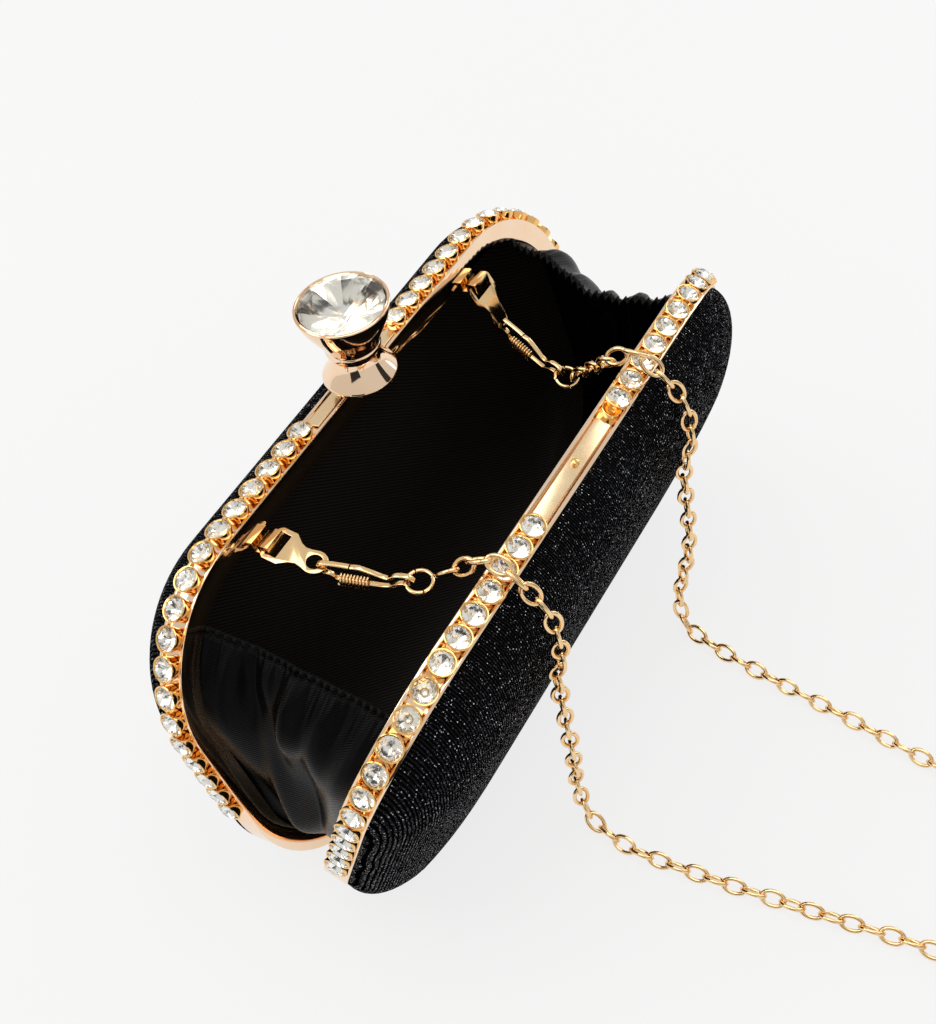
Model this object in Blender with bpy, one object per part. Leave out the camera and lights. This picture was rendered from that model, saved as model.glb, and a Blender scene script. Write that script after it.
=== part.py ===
"""Evening bag: a hinged two-shell clutch with a crystal-set metal frame, a knob clasp and a chain strap.

Metres, +Z up, +X along the bag. The back shell leans to +Y and carries the knob, the gussets and the
strap's fittings; the front shell leans to -Y and closes against it. "near" is the -X end, "far" the +X end.
Points of a shell are given by x (along), n (away from the parting plane) and h (up from the hinge axis).
"""
import math

import bmesh
import bpy
from mathutils import Matrix, Vector

MM = 0.001

# outline of both shells at their parting edge
HALF_LENGTH = 93.3 * MM
HEIGHT = 106.5 * MM
TOP_RADIUS = 35.6 * MM
BOTTOM_RADIUS = 37.1 * MM
CORNER_STEPS = 6
LEAN = math.radians(15.6)

# metal frame of each shell: a channel facing out and a flange facing the other shell
PARTING_GAP = 0.15 * MM
FRAME_WIDTH = 7.4 * MM
FRAME_WALL = 1.6 * MM
CHANNEL = (1.45 * MM, 6.1 * MM)
CHANNEL_DEPTH = 0.8 * MM
FLANGE_WALL = 0.9 * MM
FLANGE_DEPTH = 6.0 * MM
CHANNEL_END = 144.6 * MM

# domed walls: fabric cover, moulded shell and lining are nested offsets of one arc
WALL_START = 7.7 * MM
DOME_DEPTH = 24.6 * MM
FLAT_INSET = 38.3 * MM
ARC_STEPS = 5
SKIRT_START = 1.35 * MM
BOTTOM_FULLNESS = 14.0 * MM
CORNER_MIN = 10.0 * MM
COVER_INSETS = (0.3 * MM, 0.8 * MM)
COVER = (0.0, 0.5 * MM)
SHELL = (0.8 * MM, 2.3 * MM)
LINING = (2.6 * MM, 3.1 * MM)

# crystal rows: cups in the frame's channel with one stone in each
ROW_PITCH = 6.9 * MM
ROW_STONES = 18
ROW_START = {-1: 21.2 * MM, 1: 23.6 * MM}
ROW_CENTRE = 3.8 * MM

# knob clasp, measured along its own axis from the underside of its foot
KNOB_X = 1.2 * MM
KNOB_TILT = math.radians(10.0)
KNOB_FOOT = (-0.5 * MM, HEIGHT + 2.5 * MM)
CLASP_PIVOT = (4.6 * MM, HEIGHT + 1.5 * MM)
# The foot's lip rides over the stud's head as the halves close, and drops in front of it.
LIP_HALF_WIDTH = 1.8 * MM
LIP_RUN = (4.55 * MM, 5.15 * MM)
LIP_DROP = 0.98 * MM
STUD_FOOT = (3.6 * MM, HEIGHT - 0.08 * MM)
STUD_PROFILE = ((0.0, 1.1), (0.3, 1.1), (0.4, 0.85), (0.55, 1.0), (0.85, 1.0), (1.08, 0.55))

# hinge along the bottom parting edge
KNUCKLE_RADIUS = 1.2 * MM
PIN_RADIUS = 0.5 * MM
KNUCKLE_LENGTH = 12.0 * MM
KNUCKLES = 5

# strap fittings: a lug on the back flange, a tab plate, a snap hook and a ring at each end
LUG_X = {"near": -48.3 * MM, "far": 52.3 * MM}
LUG_PIVOT = (-1.94 * MM, 97.66 * MM)
TAB_DIRECTION = {"near": Vector((0.0, -1.0, -0.05)), "far": Vector((0.0, -0.535, -0.845))}
HOOK_DIRECTION = {"near": Vector((0.25, -0.96, 0.06)), "far": Vector((-0.25, -0.94, -0.22))}
TAB_EYE = 12.4 * MM
EYE_RADII = (2.1, 3.4)
EYE_RIM = 2.75 * MM
HOOK_WIDTH = 1.3
HOOK_THICKNESS = 0.8
HOOK_BEND = 1.75
LEVER_PIVOT = 7.0
SPRING_TURNS = 6
SPRING_PITCH = 1.3
RING_RADIUS = 3.25 * MM
RING_WIRE = 0.55 * MM
RING_CENTRE = 23.85 * MM

# chain: both runs lie over the front frame, hang to the floor and meet in a coil
CHAIN_RADIUS = 2.4 * MM
LEADS = {"near": 1.0 * MM, "far": 2.0 * MM}
COIL_CENTRE = (-3.0 * MM, -192.0 * MM)
COIL_RADII = (17.2 * MM, 27.0 * MM)
COIL_HEIGHT = 10.0 * MM
COIL_GAP = 0.3 * MM
CHAIN_POINT_STEP = 3.0 * CHAIN_RADIUS

HINGE_Z = FRAME_WIDTH * math.sin(LEAN)
TOP_END = HALF_LENGTH - TOP_RADIUS
TOP_CORNER_END = TOP_END + math.pi / 2 * TOP_RADIUS
SIDE_END = TOP_CORNER_END + HEIGHT - TOP_RADIUS - BOTTOM_RADIUS
BOTTOM_CORNER_END = SIDE_END + math.pi / 2 * BOTTOM_RADIUS
HALF_OUTLINE = BOTTOM_CORNER_END + HALF_LENGTH - BOTTOM_RADIUS

# colour, metallic, roughness
GOLD = ((0.91, 0.66, 0.42, 1.0), 1.0, 0.18)
CRYSTAL = ((0.93, 0.95, 0.97, 1.0), 0.0, 0.03)
GLITTER = ((0.012, 0.012, 0.016, 1.0), 0.0, 0.45)
BOARD = ((0.10, 0.09, 0.08, 1.0), 0.0, 0.7)
LINING_CLOTH = ((0.008, 0.008, 0.009, 1.0), 0.0, 0.6)
SATIN = ((0.012, 0.012, 0.014, 1.0), 0.0, 0.32)
ELASTIC = ((0.03, 0.03, 0.03, 1.0), 0.0, 0.8)
STEEL = ((0.62, 0.60, 0.57, 1.0), 1.0, 0.3)


def clear_scene():
    for thing in list(bpy.data.objects):
        bpy.data.objects.remove(thing, do_unlink=True)


def shell_point(side, x, n, h):
    """World position of a point in a shell's own measures; side is +1 for the back, -1 for the front."""
    y = side * (n * math.cos(LEAN) + h * math.sin(LEAN))
    z = HINGE_Z + h * math.cos(LEAN) - n * math.sin(LEAN)
    return Vector((x, y, z))


def outline(s):
    """x, h and outward direction at distance s round one half of the outline, from the middle of its top."""
    if s <= TOP_END:
        return s, HEIGHT, 0.0, 1.0
    if s <= TOP_CORNER_END:
        a = (s - TOP_END) / TOP_RADIUS
        x = TOP_END + TOP_RADIUS * math.sin(a)
        h = HEIGHT - TOP_RADIUS * (1.0 - math.cos(a))
        return x, h, math.sin(a), math.cos(a)
    if s <= SIDE_END:
        return HALF_LENGTH, HEIGHT - TOP_RADIUS - (s - TOP_CORNER_END), 1.0, 0.0
    if s <= BOTTOM_CORNER_END:
        a = (s - SIDE_END) / BOTTOM_RADIUS
        x = HALF_LENGTH - BOTTOM_RADIUS * (1.0 - math.cos(a))
        h = BOTTOM_RADIUS * (1.0 - math.sin(a))
        return x, h, math.cos(a), -math.sin(a)
    return HALF_LENGTH - BOTTOM_RADIUS - (s - BOTTOM_CORNER_END), 0.0, 0.0, -1.0


def on_outline(side, end, s, n, out):
    """World point at s round the half at end (-1 or +1), n deep and out beyond the outline."""
    x, h, ox, oh = outline(s)
    return shell_point(side, end * (x + ox * out), n, h + oh * out)


def make_object(name, points, faces, finish, smooth=True):
    """A closed mesh object with its own material and outward normals."""
    mesh = bpy.data.meshes.new(name)
    mesh.from_pydata([tuple(p) for p in points], [], faces)
    made = bmesh.new()
    made.from_mesh(mesh)
    bmesh.ops.recalc_face_normals(made, faces=made.faces)
    made.to_mesh(mesh)
    made.free()
    if smooth:
        mesh.shade_smooth()
        mesh.set_sharp_from_angle(angle=math.radians(35.0))
    thing = bpy.data.objects.new(name, mesh)
    bpy.context.scene.collection.objects.link(thing)
    if finish:
        dress(thing, finish)
    return thing


def dress(thing, finish):
    colour, metallic, roughness = finish
    material = bpy.data.materials.new(thing.name)
    material.use_nodes = True
    shader = material.node_tree.nodes["Principled BSDF"]
    shader.inputs["Base Color"].default_value = colour
    shader.inputs["Metallic"].default_value = metallic
    shader.inputs["Roughness"].default_value = roughness
    thing.data.materials.append(material)


def loft(name, sections, finish, closed=False):
    """Skin through equal sections: a ring when closed, otherwise capped at both ends."""
    count = len(sections[0])
    points = [p for section in sections for p in section]
    faces = []
    last = len(sections) if closed else len(sections) - 1
    for i in range(last):
        j = (i + 1) % len(sections)
        for k in range(count):
            m = (k + 1) % count
            faces.append((i * count + k, i * count + m, j * count + m, j * count + k))
    if not closed:
        faces.append(tuple(range(count)))
        faces.append(tuple(range((len(sections) - 1) * count, len(sections) * count)))
    return make_object(name, points, faces, finish)


def circle(centre, axis, radius, segments):
    axis = axis.normalized()
    side = axis.orthogonal().normalized()
    other = axis.cross(side)
    points = []
    for k in range(segments):
        a = 2.0 * math.pi * (k + 0.5) / segments
        points.append(centre + side * (radius * math.cos(a)) + other * (radius * math.sin(a)))
    return points


def turned(name, base, axis, profile, finish, segments=24, closed=False):
    """A turned solid: profile is (distance along axis, radius) in millimetres."""
    axis = axis.normalized()
    sections = [circle(base + axis * (t * MM), axis, r * MM, segments) for t, r in profile]
    return loft(name, sections, finish, closed)


def box(name, corners_low, corners_high, place, finish):
    """A block between two corners, placed by a function of three coordinates."""
    low = corners_low
    high = corners_high
    sections = []
    for a in (low[0], high[0]):
        square = [(low[1], low[2]), (high[1], low[2]), (high[1], high[2]), (low[1], high[2])]
        sections.append([place(a, b, c) for b, c in square])
    return loft(name, sections, finish)


def apply_boolean(thing, tool, operation):
    tool.hide_render = True
    tool.display_type = "WIRE"
    change = thing.modifiers.new(tool.name, "BOOLEAN")
    change.operation = operation
    change.solver = "EXACT"
    change.object = tool


def move_origin(thing, position):
    """Put the object's origin at a world position without moving its shape."""
    shift = position - thing.location
    thing.data.transform(Matrix.Translation(-shift))
    thing.location = position


def frame_stations():
    """Distances round half the outline at which the frame has a section."""
    stations = [0.0, TOP_END]
    step = math.pi / 2 / CORNER_STEPS
    stations += [TOP_END + TOP_RADIUS * step * k for k in range(1, CORNER_STEPS + 1)]
    stations += [CHANNEL_END, CHANNEL_END + 1.2 * MM, SIDE_END]
    stations += [SIDE_END + BOTTOM_RADIUS * step * k for k in range(1, CORNER_STEPS + 1)]
    stations.append(HALF_OUTLINE)
    return stations


def frame_section(recess):
    low, high = CHANNEL
    return [
        (PARTING_GAP, 0.0),
        (low - 0.2 * MM, 0.0),
        (low, -recess),
        (high, -recess),
        (high + 0.2 * MM, 0.0),
        (FRAME_WIDTH, 0.0),
        (FRAME_WIDTH, -FRAME_WALL),
        (PARTING_GAP + FLANGE_WALL, -FRAME_WALL),
        (PARTING_GAP + FLANGE_WALL, -FLANGE_DEPTH),
        (PARTING_GAP, -FLANGE_DEPTH),
    ]


def frame_loop():
    """(end, distance) of every section round the whole frame."""
    stations = frame_stations()
    there = [(1, s) for s in stations]
    back = [(-1, s) for s in reversed(stations[1:-1])]
    return there + back


def knuckle_spans():
    """Start and end x of each hinge knuckle, alternately the back's and the front's."""
    start = -KNUCKLES * KNUCKLE_LENGTH / 2
    spans = []
    for k in range(KNUCKLES):
        low = start + k * KNUCKLE_LENGTH + 0.15 * MM
        spans.append((low, low + KNUCKLE_LENGTH - 0.3 * MM))
    return spans


def build_frame(name, side):
    """One half of the metal frame with its hinge knuckles."""
    sections = []
    for end, s in frame_loop():
        recess = CHANNEL_DEPTH if s <= CHANNEL_END else 0.02 * MM
        sections.append([on_outline(side, end, s, n, out) for n, out in frame_section(recess)])
    frame = loft(name, sections, GOLD, closed=True)
    along = Vector((1.0, 0.0, 0.0))
    centre = shell_point(side, 0.0, 0.0, 0.0)
    first_own = 0 if side > 0 else 1
    for k, (low, high) in enumerate(knuckle_spans()):
        own = k % 2 == first_own
        radius = KNUCKLE_RADIUS if own else KNUCKLE_RADIUS + 0.3 * MM
        reach = 0.0 if own else 0.3 * MM
        length = high - low + 2.0 * reach
        start = centre + along * (low - reach)
        profile = ((0.0, radius / MM), (length / MM, radius / MM))
        tool = turned(f"{name}_knuckle_{k}", start, along, profile, None, segments=16)
        apply_boolean(frame, tool, "UNION" if own else "DIFFERENCE")
    bore = 0.56
    reach = KNUCKLES * KNUCKLE_LENGTH / MM / 2 + 2.0
    start = centre - along * (reach * MM)
    tool = turned(f"{name}_bore", start, along, ((0.0, bore), (2.0 * reach, bore)), None)
    apply_boolean(frame, tool, "DIFFERENCE")
    return frame


def dome_ring(side, inset, n):
    """One closed loop of a wall, inset from the outline and n from the parting plane."""
    deep = max(n - WALL_START, 0.0) / (DOME_DEPTH - WALL_START)
    top = max(TOP_RADIUS - inset, CORNER_MIN)
    bottom = max(BOTTOM_RADIUS - inset - BOTTOM_FULLNESS * deep, CORNER_MIN)
    half = HALF_LENGTH - inset
    quarter = []
    for k in range(CORNER_STEPS + 1):
        a = math.pi / 2 * k / CORNER_STEPS
        quarter.append((half - top + top * math.sin(a), HEIGHT - inset - top + top * math.cos(a)))
    for k in range(CORNER_STEPS + 1):
        a = math.pi / 2 * k / CORNER_STEPS
        quarter.append((half - bottom + bottom * math.cos(a), inset + bottom - bottom * math.sin(a)))
    loop = quarter + [(-x, h) for x, h in reversed(quarter)]
    return [shell_point(side, x, n, h) for x, h in loop]


def arc_profile(depth, first_inset):
    """(inset, n) along a wall's elliptical shoulder, from its edge to the flat middle."""
    profile = []
    for k in range(ARC_STEPS + 1):
        a = math.pi / 2 * k / ARC_STEPS
        inset = first_inset + (FLAT_INSET - first_inset) * (1.0 - math.cos(a))
        profile.append((inset, WALL_START + (DOME_DEPTH - depth - WALL_START) * math.sin(a)))
    return profile


def build_cover(name, side):
    """Fabric cover: a domed skin that ends against the frame's edge."""
    outer = arc_profile(COVER[0], COVER_INSETS[0])
    inner = arc_profile(COVER[1], COVER_INSETS[1])
    rings = [dome_ring(side, inset, n) for inset, n in reversed(inner)]
    rings += [dome_ring(side, inset, n) for inset, n in outer]
    return loft(name, rings, GLITTER)


def build_wall(name, side, layer, insets, finish):
    """A domed wall with a straight skirt that reaches behind the frame's flange."""
    outer = [(insets[0], SKIRT_START)] + arc_profile(layer[0], insets[0])
    inner = [(insets[1], SKIRT_START)] + arc_profile(layer[1], insets[1])
    rings = [dome_ring(side, inset, n) for inset, n in reversed(inner)]
    rings += [dome_ring(side, inset, n) for inset, n in outer]
    return loft(name, rings, finish)


def row_sections(side, end, waist, stone, first_extra):
    """Sections along one crystal row: a wide pair at each stone and a narrow waist between stones."""
    def section(s, shape):
        low_half, low, top_half, top = shape
        corners = ((-low_half, low), (low_half, low), (top_half, top), (-top_half, top))
        return [on_outline(side, end, s, ROW_CENTRE + n * MM, out * MM) for n, out in corners]

    start = ROW_START[end]
    sections = []
    if first_extra:
        sections.append(section(start - 6.6 * MM, (1.6, waist[1], 1.9, 0.6)))
        sections.append(section(start - 4.2 * MM, (1.8, waist[1], 2.4, 0.8)))
    sections.append(section(start - 3.3 * MM, waist))
    for k in range(ROW_STONES):
        s = start + k * ROW_PITCH
        sections.append(section(s - 1.5 * MM, stone))
        sections.append(section(s + 1.5 * MM, stone))
        if k < ROW_STONES - 1:
            sections.append(section(s + ROW_PITCH / 2, waist))
    sections.append(section(start + (ROW_STONES - 1) * ROW_PITCH + 3.3 * MM, waist))
    return sections


def build_rows(prefix, side):
    """Gold cups and crystals along both halves of one frame."""
    for end, label in ((-1, "near"), (1, "far")):
        spare = side < 0 and end > 0
        cups = row_sections(side, end, (0.9, -0.5, 0.9, 0.2), (1.9, -0.5, 3.0, 1.4), spare)
        loft(f"{prefix}_cups_{label}", cups, GOLD)
        stones = row_sections(side, end, (0.5, 1.75, 0.5, 2.3), (2.9, 1.75, 1.9, 3.6), False)
        loft(f"{prefix}_crystals_{label}", stones, CRYSTAL)


def build_plate(name, side, high):
    """Plain strip in the channel between the two crystal rows."""
    low = -17.0 * MM
    return box(
        name,
        (low, 1.8 * MM, HEIGHT - 0.5 * MM),
        (high, 5.75 * MM, HEIGHT - 0.1 * MM),
        lambda x, n, h: shell_point(side, x, n, h),
        GOLD,
    )


def knob_axis():
    """World position of the middle of the foot's underside, and the knob's axis."""
    n, h = KNOB_FOOT
    base = shell_point(1, KNOB_X, n, h)
    up = shell_point(1, 0.0, -math.sin(KNOB_TILT), math.cos(KNOB_TILT)) - shell_point(1, 0.0, 0.0, 0.0)
    return base, up.normalized()


def build_knob():
    """Crystal, cup and foot, all turned on the knob's axis; the foot has a catch lip and two pivot ears."""
    base, up = knob_axis()
    pivot = shell_point(1, KNOB_X, *CLASP_PIVOT)
    crystal = ((13.8, 1.2), (17.0, 5.4), (22.0, 10.9), (22.6, 10.9), (24.6, 6.4))
    cup = (
        (13.0, 1.4), (16.6, 6.2), (21.8, 11.3), (22.9, 11.3), (23.2, 11.6), (23.0, 12.0), (21.9, 12.0),
        (16.5, 9.6), (10.2, 7.3), (9.6, 7.2), (8.0, 6.6), (7.8, 5.2),
    )
    foot = ((0.0, 9.3), (0.5, 9.8), (1.1, 9.7), (4.4, 7.3), (6.2, 6.5), (7.5, 6.2))
    pieces = [
        turned("knob_crystal", base, up, crystal, CRYSTAL, segments=16),
        turned("knob_cup", base, up, cup, GOLD),
        turned("knob_foot", base, up, foot, GOLD),
    ]
    forward = up.cross(Vector((1.0, 0.0, 0.0))).normalized()
    if forward.y > 0.0:
        forward = -forward
    lip = box(
        "knob_foot_lip",
        (-LIP_HALF_WIDTH, LIP_RUN[0], -LIP_DROP),
        (LIP_HALF_WIDTH, LIP_RUN[1], LIP_DROP),
        lambda x, f, t: base + Vector((x, 0.0, 0.0)) + forward * f + up * t,
        None,
    )
    apply_boolean(pieces[2], lip, "UNION")
    for label, low in (("near", -6.0), ("far", 4.9)):
        ear = box(
            f"knob_foot_ear_{label}",
            (low * MM, -1.1 * MM, -1.1 * MM),
            ((low + 1.1) * MM, 1.1 * MM, 3.2 * MM),
            lambda x, f, t: pivot + Vector((x, 0.0, 0.0)) + forward * f + up * t,
            None,
        )
        apply_boolean(pieces[2], ear, "UNION")
    bore = turned(
        "knob_foot_bore", pivot - Vector((8.0 * MM, 0.0, 0.0)), Vector((1.0, 0.0, 0.0)),
        ((0.0, 0.56), (16.0, 0.56)), None,
    )
    apply_boolean(pieces[2], bore, "DIFFERENCE")
    for piece in pieces:
        move_origin(piece, pivot)


def build_clasp():
    """Bracket, pivot pin and leaf spring under the knob, and the front frame's stud."""
    base, up = knob_axis()
    pivot = shell_point(1, KNOB_X, *CLASP_PIVOT)
    forward = up.cross(Vector((1.0, 0.0, 0.0))).normalized()
    if forward.y > 0.0:
        forward = -forward
    low = HEIGHT + 0.2 * MM
    section = ((3.0, low), (6.2, low), (6.2, HEIGHT + 2.5 * MM), (3.0, HEIGHT + 1.9 * MM))
    ends = []
    for x in (-4.4 * MM, 4.4 * MM):
        ends.append([shell_point(1, KNOB_X + x, n * MM, h) for n, h in section])
    bracket = loft("clasp_bracket", ends, GOLD)
    along = Vector((1.0, 0.0, 0.0))
    bore_start = pivot - along * (6.0 * MM)
    bore = turned("clasp_bracket_bore", bore_start, along, ((0.0, 0.56), (12.0, 0.56)), None)
    apply_boolean(bracket, bore, "DIFFERENCE")
    turned("clasp_pin", pivot - along * (6.4 * MM), along, ((0.0, 0.5), (12.8, 0.5)), STEEL)
    top = base - forward * (5.1 * MM)
    box(
        "clasp_spring",
        (-2.6 * MM, -1.2 * MM, -0.75 * MM),
        (2.6 * MM, 1.4 * MM, -0.45 * MM),
        lambda x, f, t: top + Vector((x, 0.0, 0.0)) + forward * f + up * t,
        STEEL,
    )
    foot = shell_point(-1, KNOB_X, STUD_FOOT[0], STUD_FOOT[1])
    away = foot - shell_point(-1, KNOB_X, STUD_FOOT[0], STUD_FOOT[1] - MM)
    turned("front_stud", foot, away, STUD_PROFILE, GOLD, segments=12)


def build_hinge_pin():
    start = shell_point(1, -KNUCKLES * KNUCKLE_LENGTH / 2 - 0.6 * MM, 0.0, 0.0)
    length = KNUCKLES * KNUCKLE_LENGTH / MM + 1.2
    turned("hinge_pin", start, Vector((1.0, 0.0, 0.0)), ((0.0, 0.5), (length, 0.5)), STEEL)


def build_lug(label):
    """Folded strip fixed behind the back flange; its loop holds the tab plate's end bar."""
    x = LUG_X[label]
    n, h = LUG_PIVOT
    low = h - 1.6 * MM
    outer = (
        (n - 1.7 * MM, low), (1.85 * MM, low), (1.85 * MM, 101.6 * MM), (1.35 * MM, 101.6 * MM),
        (1.35 * MM, low + 0.6 * MM), (n + 1.7 * MM, low + 0.6 * MM), (n + 1.7 * MM, h + 1.6 * MM),
        (n - 1.7 * MM, h + 1.6 * MM),
    )
    sections = []
    for dx in (-3.2 * MM, 3.2 * MM):
        sections.append([shell_point(1, x + dx, a, b) for a, b in outer])
    lug = loft(f"{label}_lug", sections, GOLD)
    hole = box(
        f"{label}_lug_hole",
        (x - 4.0 * MM, n - 1.2 * MM, h - 1.0 * MM),
        (x + 4.0 * MM, n + 1.2 * MM, h + 1.1 * MM),
        lambda a, b, c: shell_point(1, a, b, c),
        None,
    )
    apply_boolean(lug, hole, "DIFFERENCE")


def tab_frame(label):
    """Pivot, length direction and face normal of a tab plate."""
    pivot = shell_point(1, LUG_X[label], *LUG_PIVOT)
    along = TAB_DIRECTION[label].normalized()
    normal = Vector((1.0, 0.0, 0.0)).cross(along).normalized()
    return pivot, along, normal


def build_tab(label):
    """Flat plate with a slot for the lug at one end and a round eye for the hook at the other."""
    pivot, along, normal = tab_frame(label)
    hole, rim = EYE_RADII
    half = [(4.2, -0.6), (5.0, 0.4), (5.0, 4.5), (4.3, 5.4), (3.2, 6.8), (2.6, 8.4), (2.8, 10.0)]
    for k in range(6):
        a = math.radians(-25.0 + 20.0 * k)
        half.append((rim * math.cos(a), TAB_EYE / MM + rim * math.sin(a)))
    loop = half + [(0.0, TAB_EYE / MM + rim)] + [(-x, t) for x, t in reversed(half)]
    width = Vector((1.0, 0.0, 0.0))
    sections = []
    for thick in (-0.45 * MM, 0.45 * MM):
        sections.append([pivot + width * (x * MM) + along * (t * MM) + normal * thick for x, t in loop])
    tab = loft(f"{label}_tab", sections, GOLD)
    slot = box(
        f"{label}_tab_slot",
        (-3.6 * MM, 0.6 * MM, -2.0 * MM),
        (3.6 * MM, 3.5 * MM, 2.0 * MM),
        lambda x, t, d: pivot + width * x + along * t + normal * d,
        None,
    )
    apply_boolean(tab, slot, "DIFFERENCE")
    eye_base = pivot + along * TAB_EYE - normal * (2.0 * MM)
    eye = turned(f"{label}_tab_eye", eye_base, normal, ((0.0, hole), (4.0, hole)), None, segments=16)
    apply_boolean(tab, eye, "DIFFERENCE")
    move_origin(tab, pivot)


def hook_frame_axes(label):
    """Pivot on the eye's rim, length direction, upward direction and width direction of a hook."""
    pivot, along, _ = tab_frame(label)
    origin = pivot + along * (TAB_EYE + EYE_RIM)
    length = HOOK_DIRECTION[label].normalized()
    width = length.cross(Vector((0.0, 0.0, 1.0))).normalized()
    upward = width.cross(length).normalized()
    return origin, length, upward, width


def ribbon(name, path, axes, thickness, wide, finish):
    """Flat wire bent along a path of (length, up) points in millimetres."""
    origin, length, upward, width = axes
    points = [Vector((a, b)) for a, b in path]
    sections = []
    for i, p in enumerate(points):
        before = points[max(i - 1, 0)]
        after = points[min(i + 1, len(points) - 1)]
        back = (p - before).normalized() if i > 0 else (after - p).normalized()
        ahead = (after - p).normalized() if i < len(points) - 1 else back
        across = (back + ahead).normalized()
        normal = Vector((-across.y, across.x))
        spread = thickness / 2 / max(0.5, across.dot(back))
        section = []
        for up_sign, side_sign in ((1, 1), (1, -1), (-1, -1), (-1, 1)):
            q = p + normal * (spread * up_sign)
            here = origin + length * (q.x * MM) + upward * (q.y * MM)
            section.append(here + width * (wide / 2 * MM * side_sign))
        sections.append(section)
    return loft(name, sections, finish)


def build_hook(label):
    """Snap hook: a bent frame through the tab's eye, a lever and a coil spring; and the ring it holds."""
    axes = hook_frame_axes(label)
    origin, length, upward, width = axes
    bend = []
    for k in range(7):
        a = math.radians(90.0 + 30.0 * k)
        bend.append((HOOK_BEND * math.cos(a), HOOK_BEND * math.sin(a)))
    arm = [(1.5, -2.2), (2.8, -3.7), (11.0, -3.9), (15.5, -3.6), (18.5, -1.7), (21.6, -1.3)]
    frame_path = [(6.6, HOOK_BEND)] + bend + arm
    frame = ribbon(f"{label}_hook", frame_path, axes, HOOK_THICKNESS, HOOK_WIDTH, GOLD)
    lever_path = [(LEVER_PIVOT, HOOK_BEND), (9.0, 1.8), (15.5, -0.5), (17.6, 0.9), (19.0, 1.25), (21.2, 1.2),
                  (22.5, 0.1)]
    lever = ribbon(f"{label}_lever", lever_path, axes, HOOK_THICKNESS, HOOK_WIDTH, GOLD)
    ridges = [(0.0, 1.05)]
    for k in range(SPRING_TURNS):
        ridges += [(k * SPRING_PITCH, 1.3), ((k + 0.5) * SPRING_PITCH, 1.65)]
    spring_end = SPRING_TURNS * SPRING_PITCH
    ridges += [(spring_end, 1.3), (spring_end, 1.05)]
    spring_base = origin + length * (3.0 * MM) - upward * (3.7 * MM)
    spring_axis = length * 8.2 - upward * 0.2
    spring = turned(f"{label}_spring", spring_base, spring_axis, ridges, GOLD, segments=10, closed=True)
    centre = origin + length * RING_CENTRE
    sections = []
    for k in range(16):
        a = 2.0 * math.pi * k / 16
        out = length * math.cos(a) + width * math.sin(a)
        around = width * math.cos(a) - length * math.sin(a)
        sections.append(circle(centre + out * RING_RADIUS, around, RING_WIRE, 6))
    ring = loft(f"{label}_ring", sections, GOLD, closed=True)
    move_origin(frame, origin)
    move_origin(spring, origin)
    move_origin(lever, origin + length * (LEVER_PIVOT * MM) + upward * (HOOK_BEND * MM))
    move_origin(ring, origin + length * (RING_CENTRE - RING_RADIUS))


def gusset_point(end, s, inset, across):
    """Point of an end gusset: across runs from -1 at the front frame to +1 at the back frame."""
    back = on_outline(1, end, s, 2.2 * MM, -inset)
    front = on_outline(-1, end, s, 2.2 * MM, -inset)
    middle = (back + front) / 2
    x, h, ox, oh = outline(s)
    sag = 2.0 * MM * (1.0 - across * across)
    return middle + (back - middle) * across - Vector((end * ox * sag, 0.0, oh * sag))


def build_gusset(end, label):
    """Thin wedge of cloth between the shells at one end, and the elastic along its top edge."""
    top = TOP_END + math.radians(35.5) * TOP_RADIUS
    low = SIDE_END + 0.72 * (BOTTOM_CORNER_END - SIDE_END)
    steps = 7
    acrosses = (-1.0, -0.5, 0.0, 0.5, 1.0)
    sections = []
    for k in range(steps + 1):
        s = top + (low - top) * k / steps
        outer = [gusset_point(end, s, 6.6 * MM, a) for a in acrosses]
        inner = [gusset_point(end, s, 7.8 * MM, a) for a in reversed(acrosses)]
        sections.append(outer + inner)
    loft(f"{label}_gusset", sections, SATIN)
    path = [gusset_point(end, top - 1.2 * MM, 7.2 * MM, a) for a in acrosses]
    rings = [circle(p, Vector((0.0, 1.0, 0.0)), 0.7 * MM, 8) for p in path]
    loft(f"{label}_elastic", rings, ELASTIC)


def smooth_path(route, spacing):
    """Evenly spaced points along a Catmull-Rom curve through the route."""
    fine = []
    for i in range(len(route) - 1):
        a = route[max(i - 1, 0)]
        b = route[i]
        c = route[i + 1]
        d = route[min(i + 2, len(route) - 1)]
        for k in range(12):
            t = k / 12
            fine.append(0.5 * ((2.0 * b) + (c - a) * t + (2.0 * a - 5.0 * b + 4.0 * c - d) * t * t
                               + (3.0 * b - a - 3.0 * c + d) * t * t * t))
    fine.append(route[-1])
    lengths = [0.0]
    for a, b in zip(fine, fine[1:]):
        lengths.append(lengths[-1] + (b - a).length)
    count = round(lengths[-1] / spacing)
    points = []
    j = 0
    for k in range(count + 1):
        want = lengths[-1] * k / count
        while j < len(lengths) - 2 and lengths[j + 1] < want:
            j += 1
        part = (want - lengths[j]) / (lengths[j + 1] - lengths[j])
        point = fine[j].lerp(fine[j + 1], min(max(part, 0.0), 1.0))
        point.z = max(point.z, CHAIN_RADIUS)
        points.append(point)
    return points


def over_frame(x, n, above):
    """Chain centre near the front frame, above its outer face."""
    return shell_point(-1, x, n * MM, HEIGHT + above * MM)


def over_front(x, inset):
    """Chain centre on the front cover's dome, inset below the top."""
    clear = CHAIN_RADIUS + 0.5 * MM
    run = FLAT_INSET - COVER_INSETS[0]
    rise = DOME_DEPTH - WALL_START
    a = math.acos(1.0 - (inset - COVER_INSETS[0]) / run)
    outward = Vector((run * math.sin(a), rise * math.cos(a))).normalized() * clear
    n = WALL_START + rise * math.sin(a) + outward.x
    h = HEIGHT - inset + outward.y
    return shell_point(-1, x, n, h)


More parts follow.
